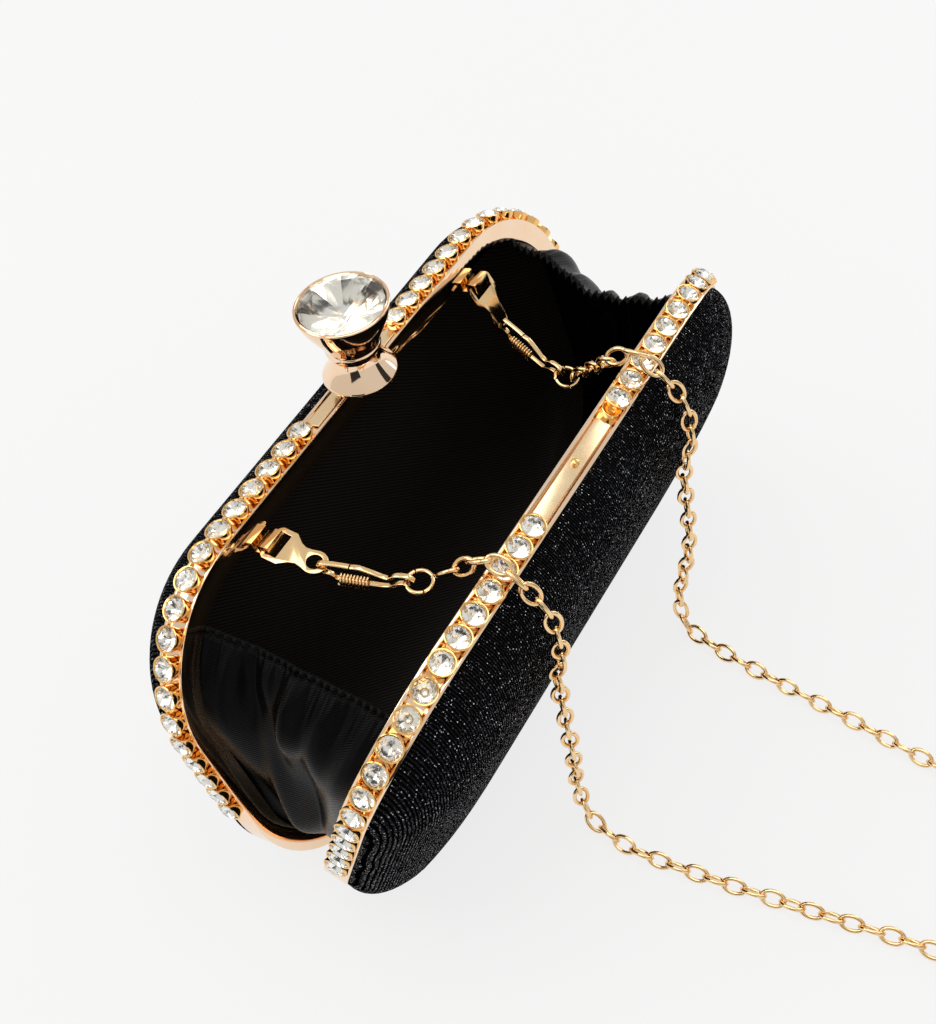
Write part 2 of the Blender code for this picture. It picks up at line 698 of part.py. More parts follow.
def chain_route(label):
    """Centre points of one run of the chain, from its ring to the coil."""
    origin, length, _, _ = hook_frame_axes(label)
    ring = origin + length * RING_CENTRE
    cross_x = {"near": -37.5, "far": 34.5}[label] * MM
    edge = over_frame(cross_x - LEADS[label], -3.2, 1.6)
    start = ring + (edge - ring).normalized() * (RING_RADIUS + RING_WIRE + 1.2 * MM)
    route = [start, start.lerp(edge, 0.5), edge]
    route += [over_frame(cross_x, n, above) for n, above in ((-0.6, 6.1), (3.8, 7.0), (8.7, 5.2))]
    route += [over_front(cross_x + LEADS[label], inset * MM) for inset in (4.0, 8.0, 14.0, 21.0, 29.0)]
    ground = {
        "near": ((-36.5, -50.0, 38.0), (-35.5, -51.5, 14.0), (-37.0, -58.0, 2.4), (-39.0, -70.0, 2.4),
                 (-37.0, -90.0, 2.4), (-34.0, -110.0, 2.4), (-30.5, -132.0, 2.4), (-28.0, -150.0, 2.4)),
        "far": ((37.5, -49.5, 38.0), (36.0, -48.5, 14.0), (33.5, -53.5, 2.4), (30.5, -66.0, 2.4),
                (28.0, -86.0, 2.4), (26.0, -108.0, 2.4), (23.5, -130.0, 2.4), (21.8, -150.0, 2.4)),
    }[label]
    route += [Vector((x * MM, y * MM, z * MM)) for x, y, z in ground]
    turn = COIL_RADII[1] - CHAIN_RADIUS
    beside = COIL_CENTRE[0] + {"near": -turn, "far": turn}[label]
    reach = math.sqrt((COIL_RADII[1] + COIL_GAP) ** 2 - (turn - CHAIN_RADIUS) ** 2)
    route.append(Vector((beside, COIL_CENTRE[1] + reach, CHAIN_RADIUS)))
    return route


def build_chain():
    """Two runs of chain as plain tubes and the spare length as a coil."""
    for label in ("near", "far"):
        points = smooth_path(chain_route(label), CHAIN_POINT_STEP)
        curve = bpy.data.curves.new(f"{label}_chain", "CURVE")
        curve.dimensions = "3D"
        curve.bevel_depth = CHAIN_RADIUS
        curve.bevel_resolution = 2
        curve.use_fill_caps = True
        spline = curve.splines.new("POLY")
        spline.points.add(len(points) - 1)
        for dot, p in zip(spline.points, points):
            dot.co = (p.x, p.y, p.z, 1.0)
        thing = bpy.data.objects.new(f"{label}_chain", curve)
        bpy.context.scene.collection.objects.link(thing)
        dress(thing, GOLD)
    inner = COIL_RADII[0] / MM
    outer = COIL_RADII[1] / MM
    top = COIL_HEIGHT / MM
    profile = ((0.0, inner + 1.0), (0.0, outer - 1.0), (1.0, outer), (top - 1.0, outer), (top, outer - 1.0),
               (top, inner + 1.0), (top - 1.0, inner), (1.0, inner))
    base = Vector((COIL_CENTRE[0], COIL_CENTRE[1], 0.0))
    turned("chain_coil", base, Vector((0.0, 0.0, 1.0)), profile, GOLD, segments=24, closed=True)


def build():
    clear_scene()
    for prefix, side, plate_end in (("back", 1, 19.6 * MM), ("front", -1, 16.4 * MM)):
        build_frame(f"{prefix}_frame", side)
        build_cover(f"{prefix}_cover", side)
        build_wall(f"{prefix}_shell", side, SHELL, (1.9 * MM, 3.4 * MM), BOARD)
        build_wall(f"{prefix}_lining", side, LINING, (3.7 * MM, 4.2 * MM), LINING_CLOTH)
        build_rows(prefix, side)
        build_plate(f"{prefix}_plate", side, plate_end)
    build_hinge_pin()
    build_knob()
    build_clasp()
    for label, end in (("near", -1), ("far", 1)):
        build_lug(label)
        build_tab(label)
        build_hook(label)
        build_gusset(end, label)
    build_chain()


build()
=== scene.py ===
"""Looks of the evening bag: shells, glitter cloth, gold frames, crystals, gussets and the chain strap."""
import math
import random

import bmesh
import bpy
from mathutils import Matrix, Vector


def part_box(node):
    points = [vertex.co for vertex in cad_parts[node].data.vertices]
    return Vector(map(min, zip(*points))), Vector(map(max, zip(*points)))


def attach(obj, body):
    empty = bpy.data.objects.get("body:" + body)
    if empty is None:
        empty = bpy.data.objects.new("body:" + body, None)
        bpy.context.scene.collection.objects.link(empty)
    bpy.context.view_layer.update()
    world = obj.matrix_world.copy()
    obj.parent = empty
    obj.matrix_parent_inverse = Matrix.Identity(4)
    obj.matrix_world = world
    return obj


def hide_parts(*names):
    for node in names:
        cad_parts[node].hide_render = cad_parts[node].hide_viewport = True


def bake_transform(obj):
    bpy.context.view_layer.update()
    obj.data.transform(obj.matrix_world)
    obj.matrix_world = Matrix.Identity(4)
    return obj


MM = 0.001
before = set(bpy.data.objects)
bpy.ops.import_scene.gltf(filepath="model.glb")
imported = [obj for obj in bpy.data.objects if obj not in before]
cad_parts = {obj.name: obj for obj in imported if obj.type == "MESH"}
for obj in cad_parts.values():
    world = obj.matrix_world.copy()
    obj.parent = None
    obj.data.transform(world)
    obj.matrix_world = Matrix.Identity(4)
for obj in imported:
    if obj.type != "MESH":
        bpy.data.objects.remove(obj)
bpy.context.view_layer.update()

# the view, looking down at the open bag from beside its front half
CAMERA_PLACE = (-0.193, -0.134, 0.366)
CAMERA_RIGHT = Vector((0.496, -0.866, -0.067))
CAMERA_BACK = Vector((-0.508, -0.352, 0.786))
LENS_MM = 54.5
SENSOR_MM = 36.0

# outline of both halves at their parting edge, as in the CAD
frame_low, frame_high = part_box("back_frame")
HALF_LENGTH = frame_high[0]
HEIGHT = 106.5 * MM
TOP_RADIUS = 35.6 * MM
BOTTOM_RADIUS = 37.1 * MM
LEAN = math.radians(15.6)
FRAME_WIDTH = 7.4 * MM
CHANNEL_END = 144.6 * MM
HINGE_Z = FRAME_WIDTH * math.sin(LEAN)

# frame metal and the hinge's knuckles
CHANNEL_DEPTH = 0.8
CHANNEL_RUNOUT = 0.9 * MM
KNUCKLES = 5
KNUCKLE_PITCH = 12.0
KNUCKLE_RADIUS = 1.2
KNUCKLE_CHAMFER = 0.15
KNUCKLE_GAP = (0.15, 0.3)

# domed walls
WALL_START = 7.7 * MM
DOME_DEPTH = 24.6 * MM
FLAT_INSET = 38.3 * MM
COVER_INSET = 0.3 * MM
BOTTOM_FULLNESS = 14.0 * MM
CORNER_MIN = 10.0 * MM
CORNER_STEPS = 20
ARC_STEPS = 18

# crystal rows
ROW_PITCH = 6.9 * MM
ROW_STONES = 18
ROW_START = {-1: 21.2 * MM, 1: 23.6 * MM}
ROW_CENTRE = 3.8 * MM
STONE_RADIUS = 2.85 * MM

# knob clasp
KNOB_X = 1.2 * MM
KNOB_TILT = math.radians(10.0)
LIP_HALF_WIDTH = 1.8 * MM
LIP_RUN = (4.55 * MM, 5.15 * MM)
LIP_DROP = 0.98 * MM
LIP_ROOT = 1.2 * MM
KNOB_FOOT = (-0.5 * MM, HEIGHT + 2.5 * MM)

# strap fittings
LUG_X = {"near": -48.3 * MM, "far": 52.3 * MM}
LUG_PIVOT = (-1.94 * MM, 97.66 * MM)
TAB_DIRECTION = {"near": Vector((0.0, -1.0, -0.05)), "far": Vector((0.0, -0.535, -0.845))}
HOOK_DIRECTION = {"near": Vector((0.25, -0.96, 0.06)), "far": Vector((-0.25, -0.94, -0.22))}
TAB_EYE = 12.4 * MM
EYE_RIM = 2.75 * MM
RING_RADIUS = 3.25 * MM
RING_WIRE = 0.55 * MM
RING_CENTRE = 23.85 * MM

# chain
CHAIN_RADIUS = 2.4 * MM
CHAIN_PITCH = 5.2 * MM
LINK_HALF = (3.15 * MM, 1.95 * MM)
LINK_WIRE = 0.58 * MM
CROSSING_X = {"near": -37.5 * MM, "far": 34.5 * MM}
LEADS = {"near": 1.0 * MM, "far": 2.0 * MM}
COIL_CENTRE = (-3.0 * MM, -192.0 * MM)
COIL_RADII = (17.2 * MM, 27.0 * MM)

# gussets
GUSSET_INSET = 6.3 * MM
CLOTH_THICKNESS = 0.35 * MM
HEM_RADIUS = 0.6 * MM
HEM_GATHERS = 78.0

# lengths round half the outline, from the middle of its top
TOP_END = HALF_LENGTH - TOP_RADIUS
TOP_CORNER_END = TOP_END + math.pi / 2 * TOP_RADIUS
SIDE_END = TOP_CORNER_END + HEIGHT - TOP_RADIUS - BOTTOM_RADIUS
BOTTOM_CORNER_END = SIDE_END + math.pi / 2 * BOTTOM_RADIUS
HALF_OUTLINE = BOTTOM_CORNER_END + HALF_LENGTH - BOTTOM_RADIUS


# ---------------------------------------------------------------- camera and light

def place_camera():
    """The photograph's view: from above and left of the front half, looking down at the open bag."""
    data = bpy.data.cameras.new("camera")
    data.sensor_fit = "HORIZONTAL"
    data.sensor_width = SENSOR_MM
    data.lens = LENS_MM
    data.clip_start = 0.01
    data.clip_end = 20.0
    camera = bpy.data.objects.new("camera", data)
    bpy.context.scene.collection.objects.link(camera)
    back = CAMERA_BACK.normalized()
    up = back.cross(CAMERA_RIGHT.normalized()).normalized()
    right = up.cross(back).normalized()
    turn = Matrix((right, up, back)).transposed().to_4x4()
    camera.matrix_world = Matrix.Translation(CAMERA_PLACE) @ turn
    bpy.context.scene.camera = camera


def add_area(name, position, target, size, power, colour=(1.0, 1.0, 1.0)):
    data = bpy.data.lights.new(name, "AREA")
    data.shape = "RECTANGLE"
    data.size = size[0]
    data.size_y = size[1]
    data.energy = power
    data.color = colour
    light = bpy.data.objects.new(name, data)
    bpy.context.scene.collection.objects.link(light)
    light.location = position
    aim = Vector(target) - Vector(position)
    light.rotation_euler = aim.to_track_quat("-Z", "Y").to_euler()


def add_card(name, position, target, size, shade):
    """A card that only reflections see, as the dark things round a studio table are."""
    bpy.ops.mesh.primitive_plane_add(size=1.0, location=position)
    card = bpy.context.object
    card.name = name
    card.scale = (size[0], size[1], 1.0)
    aim = Vector(target) - Vector(position)
    card.rotation_euler = aim.to_track_quat("-Z", "Y").to_euler()
    material = bpy.data.materials.new(name)
    material.use_nodes = True
    shader = material.node_tree.nodes["Principled BSDF"]
    shader.inputs["Base Color"].default_value = (shade, shade, shade, 1.0)
    shader.inputs["Roughness"].default_value = 1.0
    shader.inputs["Specular IOR Level"].default_value = 0.0
    card.data.materials.append(material)
    card.visible_camera = False
    card.visible_diffuse = False
    card.visible_shadow = False


def light_studio():
    world = bpy.data.worlds.new("studio")
    world.use_nodes = True
    background = world.node_tree.nodes["Background"]
    background.inputs["Color"].default_value = (1.0, 0.99, 0.97, 1.0)
    background.inputs["Strength"].default_value = 0.7
    bpy.context.scene.world = world
    add_area("key", (-0.35, 0.75, 0.85), (0.0, 0.0, 0.05), (0.8, 0.6), 4.0, (1.0, 0.98, 0.95))
    add_area("side", (0.85, -0.25, 0.45), (0.0, 0.0, 0.05), (0.4, 0.7), 1.5)
    add_area("top", (0.05, 0.05, 1.0), (0.0, 0.0, 0.0), (0.7, 0.7), 3.0)
    add_card("dark_left", (-0.75, -0.25, 0.22), (0.0, 0.0, 0.08), (0.5, 0.42), 0.03)
    add_card("dark_right", (0.35, -0.7, 0.35), (0.0, 0.0, 0.08), (0.25, 0.5), 0.03)
    bpy.context.scene.view_settings.view_transform = "Standard"


def lay_floor():
    bpy.ops.mesh.primitive_plane_add(size=6.0, location=(0.0, 0.0, 0.0))
    floor = bpy.context.object
    floor.name = "floor"
    material, nodes, links, shader = new_material("floor_paper")
    noise = add_noise(nodes, links, 3.0, 2.0)
    greys = ((0.118, 0.118, 0.118), (0.124, 0.124, 0.124))
    ramp = add_ramp(nodes, links, noise.outputs["Fac"], (0.3, 0.7), greys)
    links.new(ramp.outputs["Color"], shader.inputs["Base Color"])
    shader.inputs["Emission Color"].default_value = (1.0, 1.0, 1.0, 1.0)
    shader.inputs["Emission Strength"].default_value = 0.785
    shader.inputs["Roughness"].default_value = 0.9
    shader.inputs["Specular IOR Level"].default_value = 0.15
    floor.data.materials.append(material)


# ---------------------------------------------------------------- materials

def new_material(name):
    material = bpy.data.materials.new(name)
    material.use_nodes = True
    tree = material.node_tree
    return material, tree.nodes, tree.links, tree.nodes["Principled BSDF"]


def object_coordinates(nodes):
    return nodes.new("ShaderNodeTexCoord").outputs["Object"]


def scaled_coordinates(nodes, links, scale):
    mapping = nodes.new("ShaderNodeMapping")
    mapping.inputs["Scale"].default_value = scale
    links.new(object_coordinates(nodes), mapping.inputs["Vector"])
    return mapping.outputs["Vector"]


def add_noise(nodes, links, scale, detail=4.0, stretch=(1.0, 1.0, 1.0)):
    noise = nodes.new("ShaderNodeTexNoise")
    noise.inputs["Scale"].default_value = scale
    noise.inputs["Detail"].default_value = detail
    links.new(scaled_coordinates(nodes, links, stretch), noise.inputs["Vector"])
    return noise


def add_ramp(nodes, links, value, stops, colours):
    ramp = nodes.new("ShaderNodeValToRGB")
    for element, place, colour in zip(ramp.color_ramp.elements, stops, colours):
        element.position = place
        element.color = (*colour, 1.0)
    links.new(value, ramp.inputs["Fac"])
    return ramp


def add_range(nodes, links, value, low, high):
    change = nodes.new("ShaderNodeMapRange")
    change.inputs["To Min"].default_value = low
    change.inputs["To Max"].default_value = high
    links.new(value, change.inputs["Value"])
    return change.outputs["Result"]


def add_maths(nodes, links, operation, value, other):
    """One maths node on a socket and either a number or a second socket."""
    maths = nodes.new("ShaderNodeMath")
    maths.operation = operation
    links.new(value, maths.inputs[0])
    if isinstance(other, float):
        maths.inputs[1].default_value = other
    else:
        links.new(other, maths.inputs[1])
    return maths.outputs["Value"]


def add_ribs(nodes, links, direction, scale, distortion, detail_scale):
    ribs = nodes.new("ShaderNodeTexWave")
    ribs.bands_direction = direction
    ribs.inputs["Scale"].default_value = scale
    ribs.inputs["Distortion"].default_value = distortion
    ribs.inputs["Detail Scale"].default_value = detail_scale
    links.new(object_coordinates(nodes), ribs.inputs["Vector"])
    return ribs.outputs["Fac"]


def add_bump(nodes, links, shader, height, strength, distance, before=None):
    bump = nodes.new("ShaderNodeBump")
    bump.inputs["Strength"].default_value = strength
    bump.inputs["Distance"].default_value = distance
    links.new(height, bump.inputs["Height"])
    if before is not None:
        links.new(before.outputs["Normal"], bump.inputs["Normal"])
    links.new(bump.outputs["Normal"], shader.inputs["Normal"])
    return bump


def gold(name, light, deep, roughness, brushed=0.0):
    """Polished plated metal: slow colour drift, uneven polish and hair scratches along its length."""
    material, nodes, links, shader = new_material(name)
    drift = add_noise(nodes, links, 60.0, 3.0)
    tone = add_ramp(nodes, links, drift.outputs["Fac"], (0.3, 0.7), (deep, light))
    links.new(tone.outputs["Color"], shader.inputs["Base Color"])
    shader.inputs["Metallic"].default_value = 1.0
    polish = add_noise(nodes, links, 350.0, 5.0)
    rough = add_range(nodes, links, polish.outputs["Fac"], roughness * 0.6, roughness * 1.5)
    links.new(rough, shader.inputs["Roughness"])
    scratches = add_noise(nodes, links, 900.0, 6.0, (0.08, 1.0, 1.0))
    add_bump(nodes, links, shader, scratches.outputs["Fac"], 0.12 + brushed, 0.00002)
    return material


def crystal_glass():
    material, nodes, links, shader = new_material("crystal_glass")
    clouds = add_noise(nodes, links, 40.0, 2.0)
    tint = add_ramp(nodes, links, clouds.outputs["Fac"], (0.3, 0.7), ((0.985, 0.99, 1.0), (1.0, 1.0, 0.99)))
    links.new(tint.outputs["Color"], shader.inputs["Base Color"])
    shader.inputs["Roughness"].default_value = 0.0
    shader.inputs["IOR"].default_value = 1.46
    shader.inputs["Transmission Weight"].default_value = 1.0
    return material


def crystal_foil():
    """Mirror coating behind the pointed side of a stone, a little uneven."""
    material, nodes, links, shader = new_material("crystal_foil")
    patches = add_noise(nodes, links, 90.0, 2.0)
    silvers = ((0.93, 0.91, 0.85), (1.0, 0.99, 0.95))
    tint = add_ramp(nodes, links, patches.outputs["Fac"], (0.35, 0.65), silvers)
    links.new(tint.outputs["Color"], shader.inputs["Base Color"])
    shader.inputs["Metallic"].default_value = 1.0
    rough = add_range(nodes, links, patches.outputs["Fac"], 0.08, 0.2)
    links.new(rough, shader.inputs["Roughness"])
    return material


def glitter_cloth():
    """Black cloth with fine ribs down the body, their valleys painted darker as shade, strewn with tiny
    silver flakes of many brightnesses.
    """
    material, nodes, links, shader = new_material("glitter_cloth")
    flakes = nodes.new("ShaderNodeTexVoronoi")
    flakes.inputs["Scale"].default_value = 2700.0
    flakes.inputs["Randomness"].default_value = 1.0
    links.new(object_coordinates(nodes), flakes.inputs["Vector"])
    split = nodes.new("ShaderNodeSeparateColor")
    links.new(flakes.outputs["Color"], split.inputs["Color"])
    near_centre = add_maths(nodes, links, "LESS_THAN", flakes.outputs["Distance"], 0.42)
    chosen = add_maths(nodes, links, "GREATER_THAN", split.outputs["Red"], 0.35)
    flake = add_maths(nodes, links, "MULTIPLY", near_centre, chosen)
    shine = nodes.new("ShaderNodeValToRGB")
    shine.color_ramp.elements[0].position = 0.5
    shine.color_ramp.elements[0].color = (0.003, 0.003, 0.004, 1.0)
    shine.color_ramp.elements[1].position = 1.0
    shine.color_ramp.elements[1].color = (0.95, 0.97, 1.0, 1.0)
    middle = shine.color_ramp.elements.new(0.88)
    middle.color = (0.12, 0.125, 0.16, 1.0)
    links.new(split.outputs["Green"], shine.inputs["Fac"])
    ribs = add_ribs(nodes, links, "X", 420.0, 2.2, 0.4)
    # painted shade: the cloth's black is darker in the rib valleys and lighter on the crests, standing in
    # for the shade and light across the ribs
    rib_shaded_blacks = ((0.001, 0.001, 0.001), (0.009, 0.009, 0.0095))
    cloth = add_ramp(nodes, links, ribs, (0.2, 0.9), rib_shaded_blacks)
    crest = add_maths(nodes, links, "GREATER_THAN", ribs, 0.3)
    on_crest = add_maths(nodes, links, "MULTIPLY", flake, crest)
    mix = nodes.new("ShaderNodeMix")
    mix.data_type = "RGBA"
    links.new(on_crest, mix.inputs["Factor"])
    links.new(cloth.outputs["Color"], mix.inputs[6])
    links.new(shine.outputs["Color"], mix.inputs[7])
    links.new(mix.outputs[2], shader.inputs["Base Color"])
    metal = add_range(nodes, links, on_crest, 0.0, 0.85)
    links.new(metal, shader.inputs["Metallic"])
    rough = add_range(nodes, links, on_crest, 0.75, 0.3)
    links.new(rough, shader.inputs["Roughness"])
    shader.inputs["Specular IOR Level"].default_value = 0.0
    ribbed = add_bump(nodes, links, shader, ribs, 0.9, 0.0005)
    add_bump(nodes, links, shader, split.outputs["Blue"], 0.9, 0.00015, ribbed)
    return material


def dark_cloth(name, colour, rib_scale, roughness, gloss):
    """Plain black cloth with a fine diagonal twill and uneven nap; the twill's valleys are painted darker as
    shade and its crests lighter as sheen.
    """
    material, nodes, links, shader = new_material(name)
    nap = add_noise(nodes, links, 800.0, 5.0)
    rough = add_range(nodes, links, nap.outputs["Fac"], roughness * 0.85, roughness * 1.15)
    links.new(rough, shader.inputs["Roughness"])
    shader.inputs["Specular IOR Level"].default_value = gloss
    ribs = add_ribs(nodes, links, "DIAGONAL", rib_scale, 0.6, 0.5)
    # painted shade and sheen: the twill's valleys are coloured darker and its crests lighter, standing in
    # for the light and shade across the ribs
    shaded_valley = tuple(c * 0.7 for c in colour)
    crest = tuple(c * 2.1 for c in colour)
    tone = add_ramp(nodes, links, ribs, (0.2, 0.8), (shaded_valley, crest))
    links.new(tone.outputs["Color"], shader.inputs["Base Color"])
    ribbed = add_bump(nodes, links, shader, ribs, 0.5, 0.0001)
    add_bump(nodes, links, shader, nap.outputs["Fac"], 0.3, 0.00005, ribbed)
    return material


def plain_board():
    material, nodes, links, shader = new_material("moulded_board")
    grain = add_noise(nodes, links, 900.0, 4.0)
    greys = ((0.02, 0.02, 0.02), (0.05, 0.048, 0.045))
    tone = add_ramp(nodes, links, grain.outputs["Fac"], (0.3, 0.7), greys)
    links.new(tone.outputs["Color"], shader.inputs["Base Color"])
    shader.inputs["Roughness"].default_value = 0.8
    add_bump(nodes, links, shader, grain.outputs["Fac"], 0.3, 0.0001)
    return material


# ---------------------------------------------------------------- places on the bag

def shell_point(side, x, n, h):
    """A point of a half: n is its distance from the parting plane and h its height from the hinge axis."""
    y = side * (n * math.cos(LEAN) + h * math.sin(LEAN))
    z = HINGE_Z + h * math.cos(LEAN) - n * math.sin(LEAN)
    return Vector((x, y, z))


def outline(s):
    """x, h and outward direction at distance s round one half of the outline, from the middle of its top."""
    if s <= TOP_END:
        return s, HEIGHT, 0.0, 1.0
    if s <= TOP_CORNER_END:
        a = (s - TOP_END) / TOP_RADIUS
        x = TOP_END + TOP_RADIUS * math.sin(a)
        h = HEIGHT - TOP_RADIUS * (1.0 - math.cos(a))
        return x, h, math.sin(a), math.cos(a)
    if s <= SIDE_END:
        return HALF_LENGTH, HEIGHT - TOP_RADIUS - (s - TOP_CORNER_END), 1.0, 0.0
    if s <= BOTTOM_CORNER_END:
        a = (s - SIDE_END) / BOTTOM_RADIUS
        x = HALF_LENGTH - BOTTOM_RADIUS * (1.0 - math.cos(a))
        h = BOTTOM_RADIUS * (1.0 - math.sin(a))
        return x, h, math.cos(a), -math.sin(a)
    return HALF_LENGTH - BOTTOM_RADIUS - (s - BOTTOM_CORNER_END), 0.0, 0.0, -1.0


def on_outline(side, end, s, n, out):
    """A point on the outline of one half and end, n from the parting plane and out of the outline."""
    x, h, ox, oh = outline(s)
    return shell_point(side, end * (x + ox * out), n, h + oh * out)


def outward(side, end, s):
    return (on_outline(side, end, s, 0.0, MM) - on_outline(side, end, s, 0.0, 0.0)).normalized()


# ---------------------------------------------------------------- mesh helpers

def band_faces(base, count, i, j):
    """Quads between section i and section j, each of count points."""
    first = base + i * count
    second = base + j * count
    turns = [(k, (k + 1) % count) for k in range(count)]
    return [(first + k, first + m, second + m, second + k) for k, m in turns]


def make_piece(name, points, faces, material, sharp=35.0):
    mesh = bpy.data.meshes.new(name)
    mesh.from_pydata([tuple(p) for p in points], [], faces)
    made = bmesh.new()
    made.from_mesh(mesh)
    bmesh.ops.recalc_face_normals(made, faces=made.faces)
    made.to_mesh(mesh)
    made.free()
    mesh.shade_smooth()
    mesh.set_sharp_from_angle(angle=math.radians(sharp))
    piece = bpy.data.objects.new(name, mesh)
    bpy.context.scene.collection.objects.link(piece)
    mesh.materials.append(material)
    return piece


def skin(sections, closed, base=0):
    """Faces between equal sections: a ring when closed, otherwise capped at both ends."""
    count = len(sections[0])
    faces = []
    last = len(sections) if closed else len(sections) - 1
    for i in range(last):
        faces += band_faces(base, count, i, (i + 1) % len(sections))
    if not closed:
        faces.append(tuple(base + k for k in range(count)))
        faces.append(tuple(base + (len(sections) - 1) * count + k for k in range(count)))
    return faces


def loft(name, sections, material, closed=False, sharp=35.0):
    points = [p for section in sections for p in section]
    return make_piece(name, points, skin(sections, closed), material, sharp)


def circle(centre, axis, radius, segments):
    axis = axis.normalized()
    side = axis.orthogonal().normalized()
    other = axis.cross(side)
    points = []
    for k in range(segments):
        a = 2.0 * math.pi * (k + 0.5) / segments
        points.append(centre + side * (radius * math.cos(a)) + other * (radius * math.sin(a)))
    return points


def turned_sections(base, axis, profile, segments):
    axis = axis.normalized()
    return [circle(base + axis * (t * MM), axis, r * MM, segments) for t, r in profile]


def turned(name, base, axis, profile, material, segments, sharp=35.0):
    """A turned solid: profile is (distance along axis, radius) in millimetres."""
    return loft(name, turned_sections(base, axis, profile, segments), material, sharp=sharp)


def rounded(section, radius, steps=2):
    """A closed section with each corner replaced by a small curve."""
    result = []
    count = len(section)
    for i in range(count):
        corner = Vector(section[i])
        before = Vector(section[i - 1]) - corner
        after = Vector(section[(i + 1) % count]) - corner
        cut = min(radius, before.length * 0.4, after.length * 0.4)
        start = corner + before.normalized() * cut
        end = corner + after.normalized() * cut
        for k in range(steps + 1):
            t = k / steps
            result.append(tuple(start * (1 - t) ** 2 + corner * (2 * t * (1 - t)) + end * t * t))
    return result


def apply_modifiers(piece):
    bpy.context.view_layer.update()
    made = piece.evaluated_get(bpy.context.evaluated_depsgraph_get())
    mesh = bpy.data.meshes.new_from_object(made)
    piece.modifiers.clear()
    piece.data = mesh


def smooth_path(route, spacing, floor=None):
    """Evenly spaced points along a Catmull-Rom curve through the route."""
    fine = []
    for i in range(len(route) - 1):
        a = route[max(i - 1, 0)]
        b = route[i]
        c = route[i + 1]
        d = route[min(i + 2, len(route) - 1)]
        for k in range(12):
            t = k / 12
            fine.append(0.5 * ((2.0 * b) + (c - a) * t + (2.0 * a - 5.0 * b + 4.0 * c - d) * t * t
                               + (3.0 * b - a - 3.0 * c + d) * t * t * t))
    fine.append(route[-1])
    lengths = [0.0]
    for a, b in zip(fine, fine[1:]):
        lengths.append(lengths[-1] + (b - a).length)
    count = max(2, round(lengths[-1] / spacing))
    points = []
    j = 0
    for k in range(count + 1):
        want = lengths[-1] * k / count
        while j < len(lengths) - 2 and lengths[j + 1] < want:
            j += 1
        part = (want - lengths[j]) / (lengths[j + 1] - lengths[j])
        point = fine[j].lerp(fine[j + 1], min(max(part, 0.0), 1.0))
        if floor is not None:
            point.z = max(point.z, floor)
        points.append(point)
    return points


def stand_for(piece, body, slot, *nodes):
    """The piece rides on a body and replaces CAD nodes; its slot is not used."""
    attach(piece, body)
    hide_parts(*nodes)
    return piece


def softened(node, width, material):
    """A copy of a CAD piece with its sharp edges rounded."""
    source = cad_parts[node]
    made = bmesh.new()
    made.from_mesh(source.data)
    made.transform(source.matrix_world)
    bmesh.ops.remove_doubles(made, verts=made.verts, dist=0.000001)
    bmesh.ops.dissolve_limit(made, angle_limit=math.radians(1.0), verts=made.verts, edges=made.edges)
    sharp = [e for e in made.edges if len(e.link_faces) == 2 and e.calc_face_angle() > math.radians(28.0)]
    bmesh.ops.bevel(made, geom=sharp, offset=width, segments=2, profile=0.6, affect="EDGES",
                    clamp_overlap=True)
    mesh = bpy.data.meshes.new(f"{node}_soft")
    made.to_mesh(mesh)
    made.free()
    mesh.shade_smooth()
    mesh.set_sharp_from_angle(angle=math.radians(40.0))
    mesh.materials.append(material)
    piece = bpy.data.objects.new(f"{node}_soft", mesh)
    bpy.context.scene.collection.objects.link(piece)
    return piece


# ---------------------------------------------------------------- chain strap

def hook_axes(label):
    """Pivot on the eye's rim, length direction, upward direction and width direction of a hook."""
    pivot = shell_point(1, LUG_X[label], *LUG_PIVOT)
    origin = pivot + TAB_DIRECTION[label].normalized() * (TAB_EYE + EYE_RIM)
    length = HOOK_DIRECTION[label].normalized()
    width = length.cross(Vector((0.0, 0.0, 1.0))).normalized()
    upward = width.cross(length).normalized()
    return origin, length, upward, width


def over_frame(x, n, above):
    """A point above the front frame's top edge, n and above in millimetres."""
    return shell_point(-1, x, n * MM, HEIGHT + above * MM)


def over_front(x, inset):
    """The chain's middle where it lies on the front cover's shoulder, inset below the frame's top."""
    clear = CHAIN_RADIUS + 0.1 * MM
    run = FLAT_INSET - COVER_INSET
    rise = DOME_DEPTH - WALL_START
    a = math.acos(1.0 - (inset - COVER_INSET) / run)
    outward = Vector((run * math.sin(a), rise * math.cos(a))).normalized() * clear
    n = WALL_START + rise * math.sin(a) + outward.x
    h = HEIGHT - inset + outward.y
    return shell_point(-1, x, n, h)


def chain_run(label):
    """Route of one run of the chain, from its ring over the front frame and down to the coil."""
    origin, length, _, _ = hook_axes(label)
    ring = origin + length * RING_CENTRE
    cross_x = CROSSING_X[label]
    edge = over_frame(cross_x - LEADS[label], -3.2, 1.6)
    start = ring + (edge - ring).normalized() * (RING_RADIUS + 0.4 * MM)
    route = [start, start.lerp(edge, 0.5), edge]
    route += [over_frame(cross_x, n, above) for n, above in ((-0.6, 5.6), (3.8, 6.3), (8.5, 4.6))]
    route += [over_front(cross_x + LEADS[label], inset * MM) for inset in (4.0, 8.0, 14.0, 21.0, 29.0)]
    ground = {
        "near": ((-36.5, -50.0, 38.0), (-35.5, -51.5, 14.0), (-37.0, -58.0, 2.4), (-39.0, -70.0, 2.4),
                 (-37.0, -90.0, 2.4), (-34.0, -110.0, 2.4), (-30.5, -132.0, 2.4), (-28.0, -150.0, 2.4)),
        "far": ((37.5, -49.5, 38.0), (36.0, -48.5, 14.0), (33.5, -53.5, 2.4), (30.5, -66.0, 2.4),
                (28.0, -86.0, 2.4), (26.0, -108.0, 2.4), (23.5, -130.0, 2.4), (21.8, -150.0, 2.4)),
    }[label]
    route += [Vector((x * MM, y * MM, z * MM)) for x, y, z in ground]
    return route


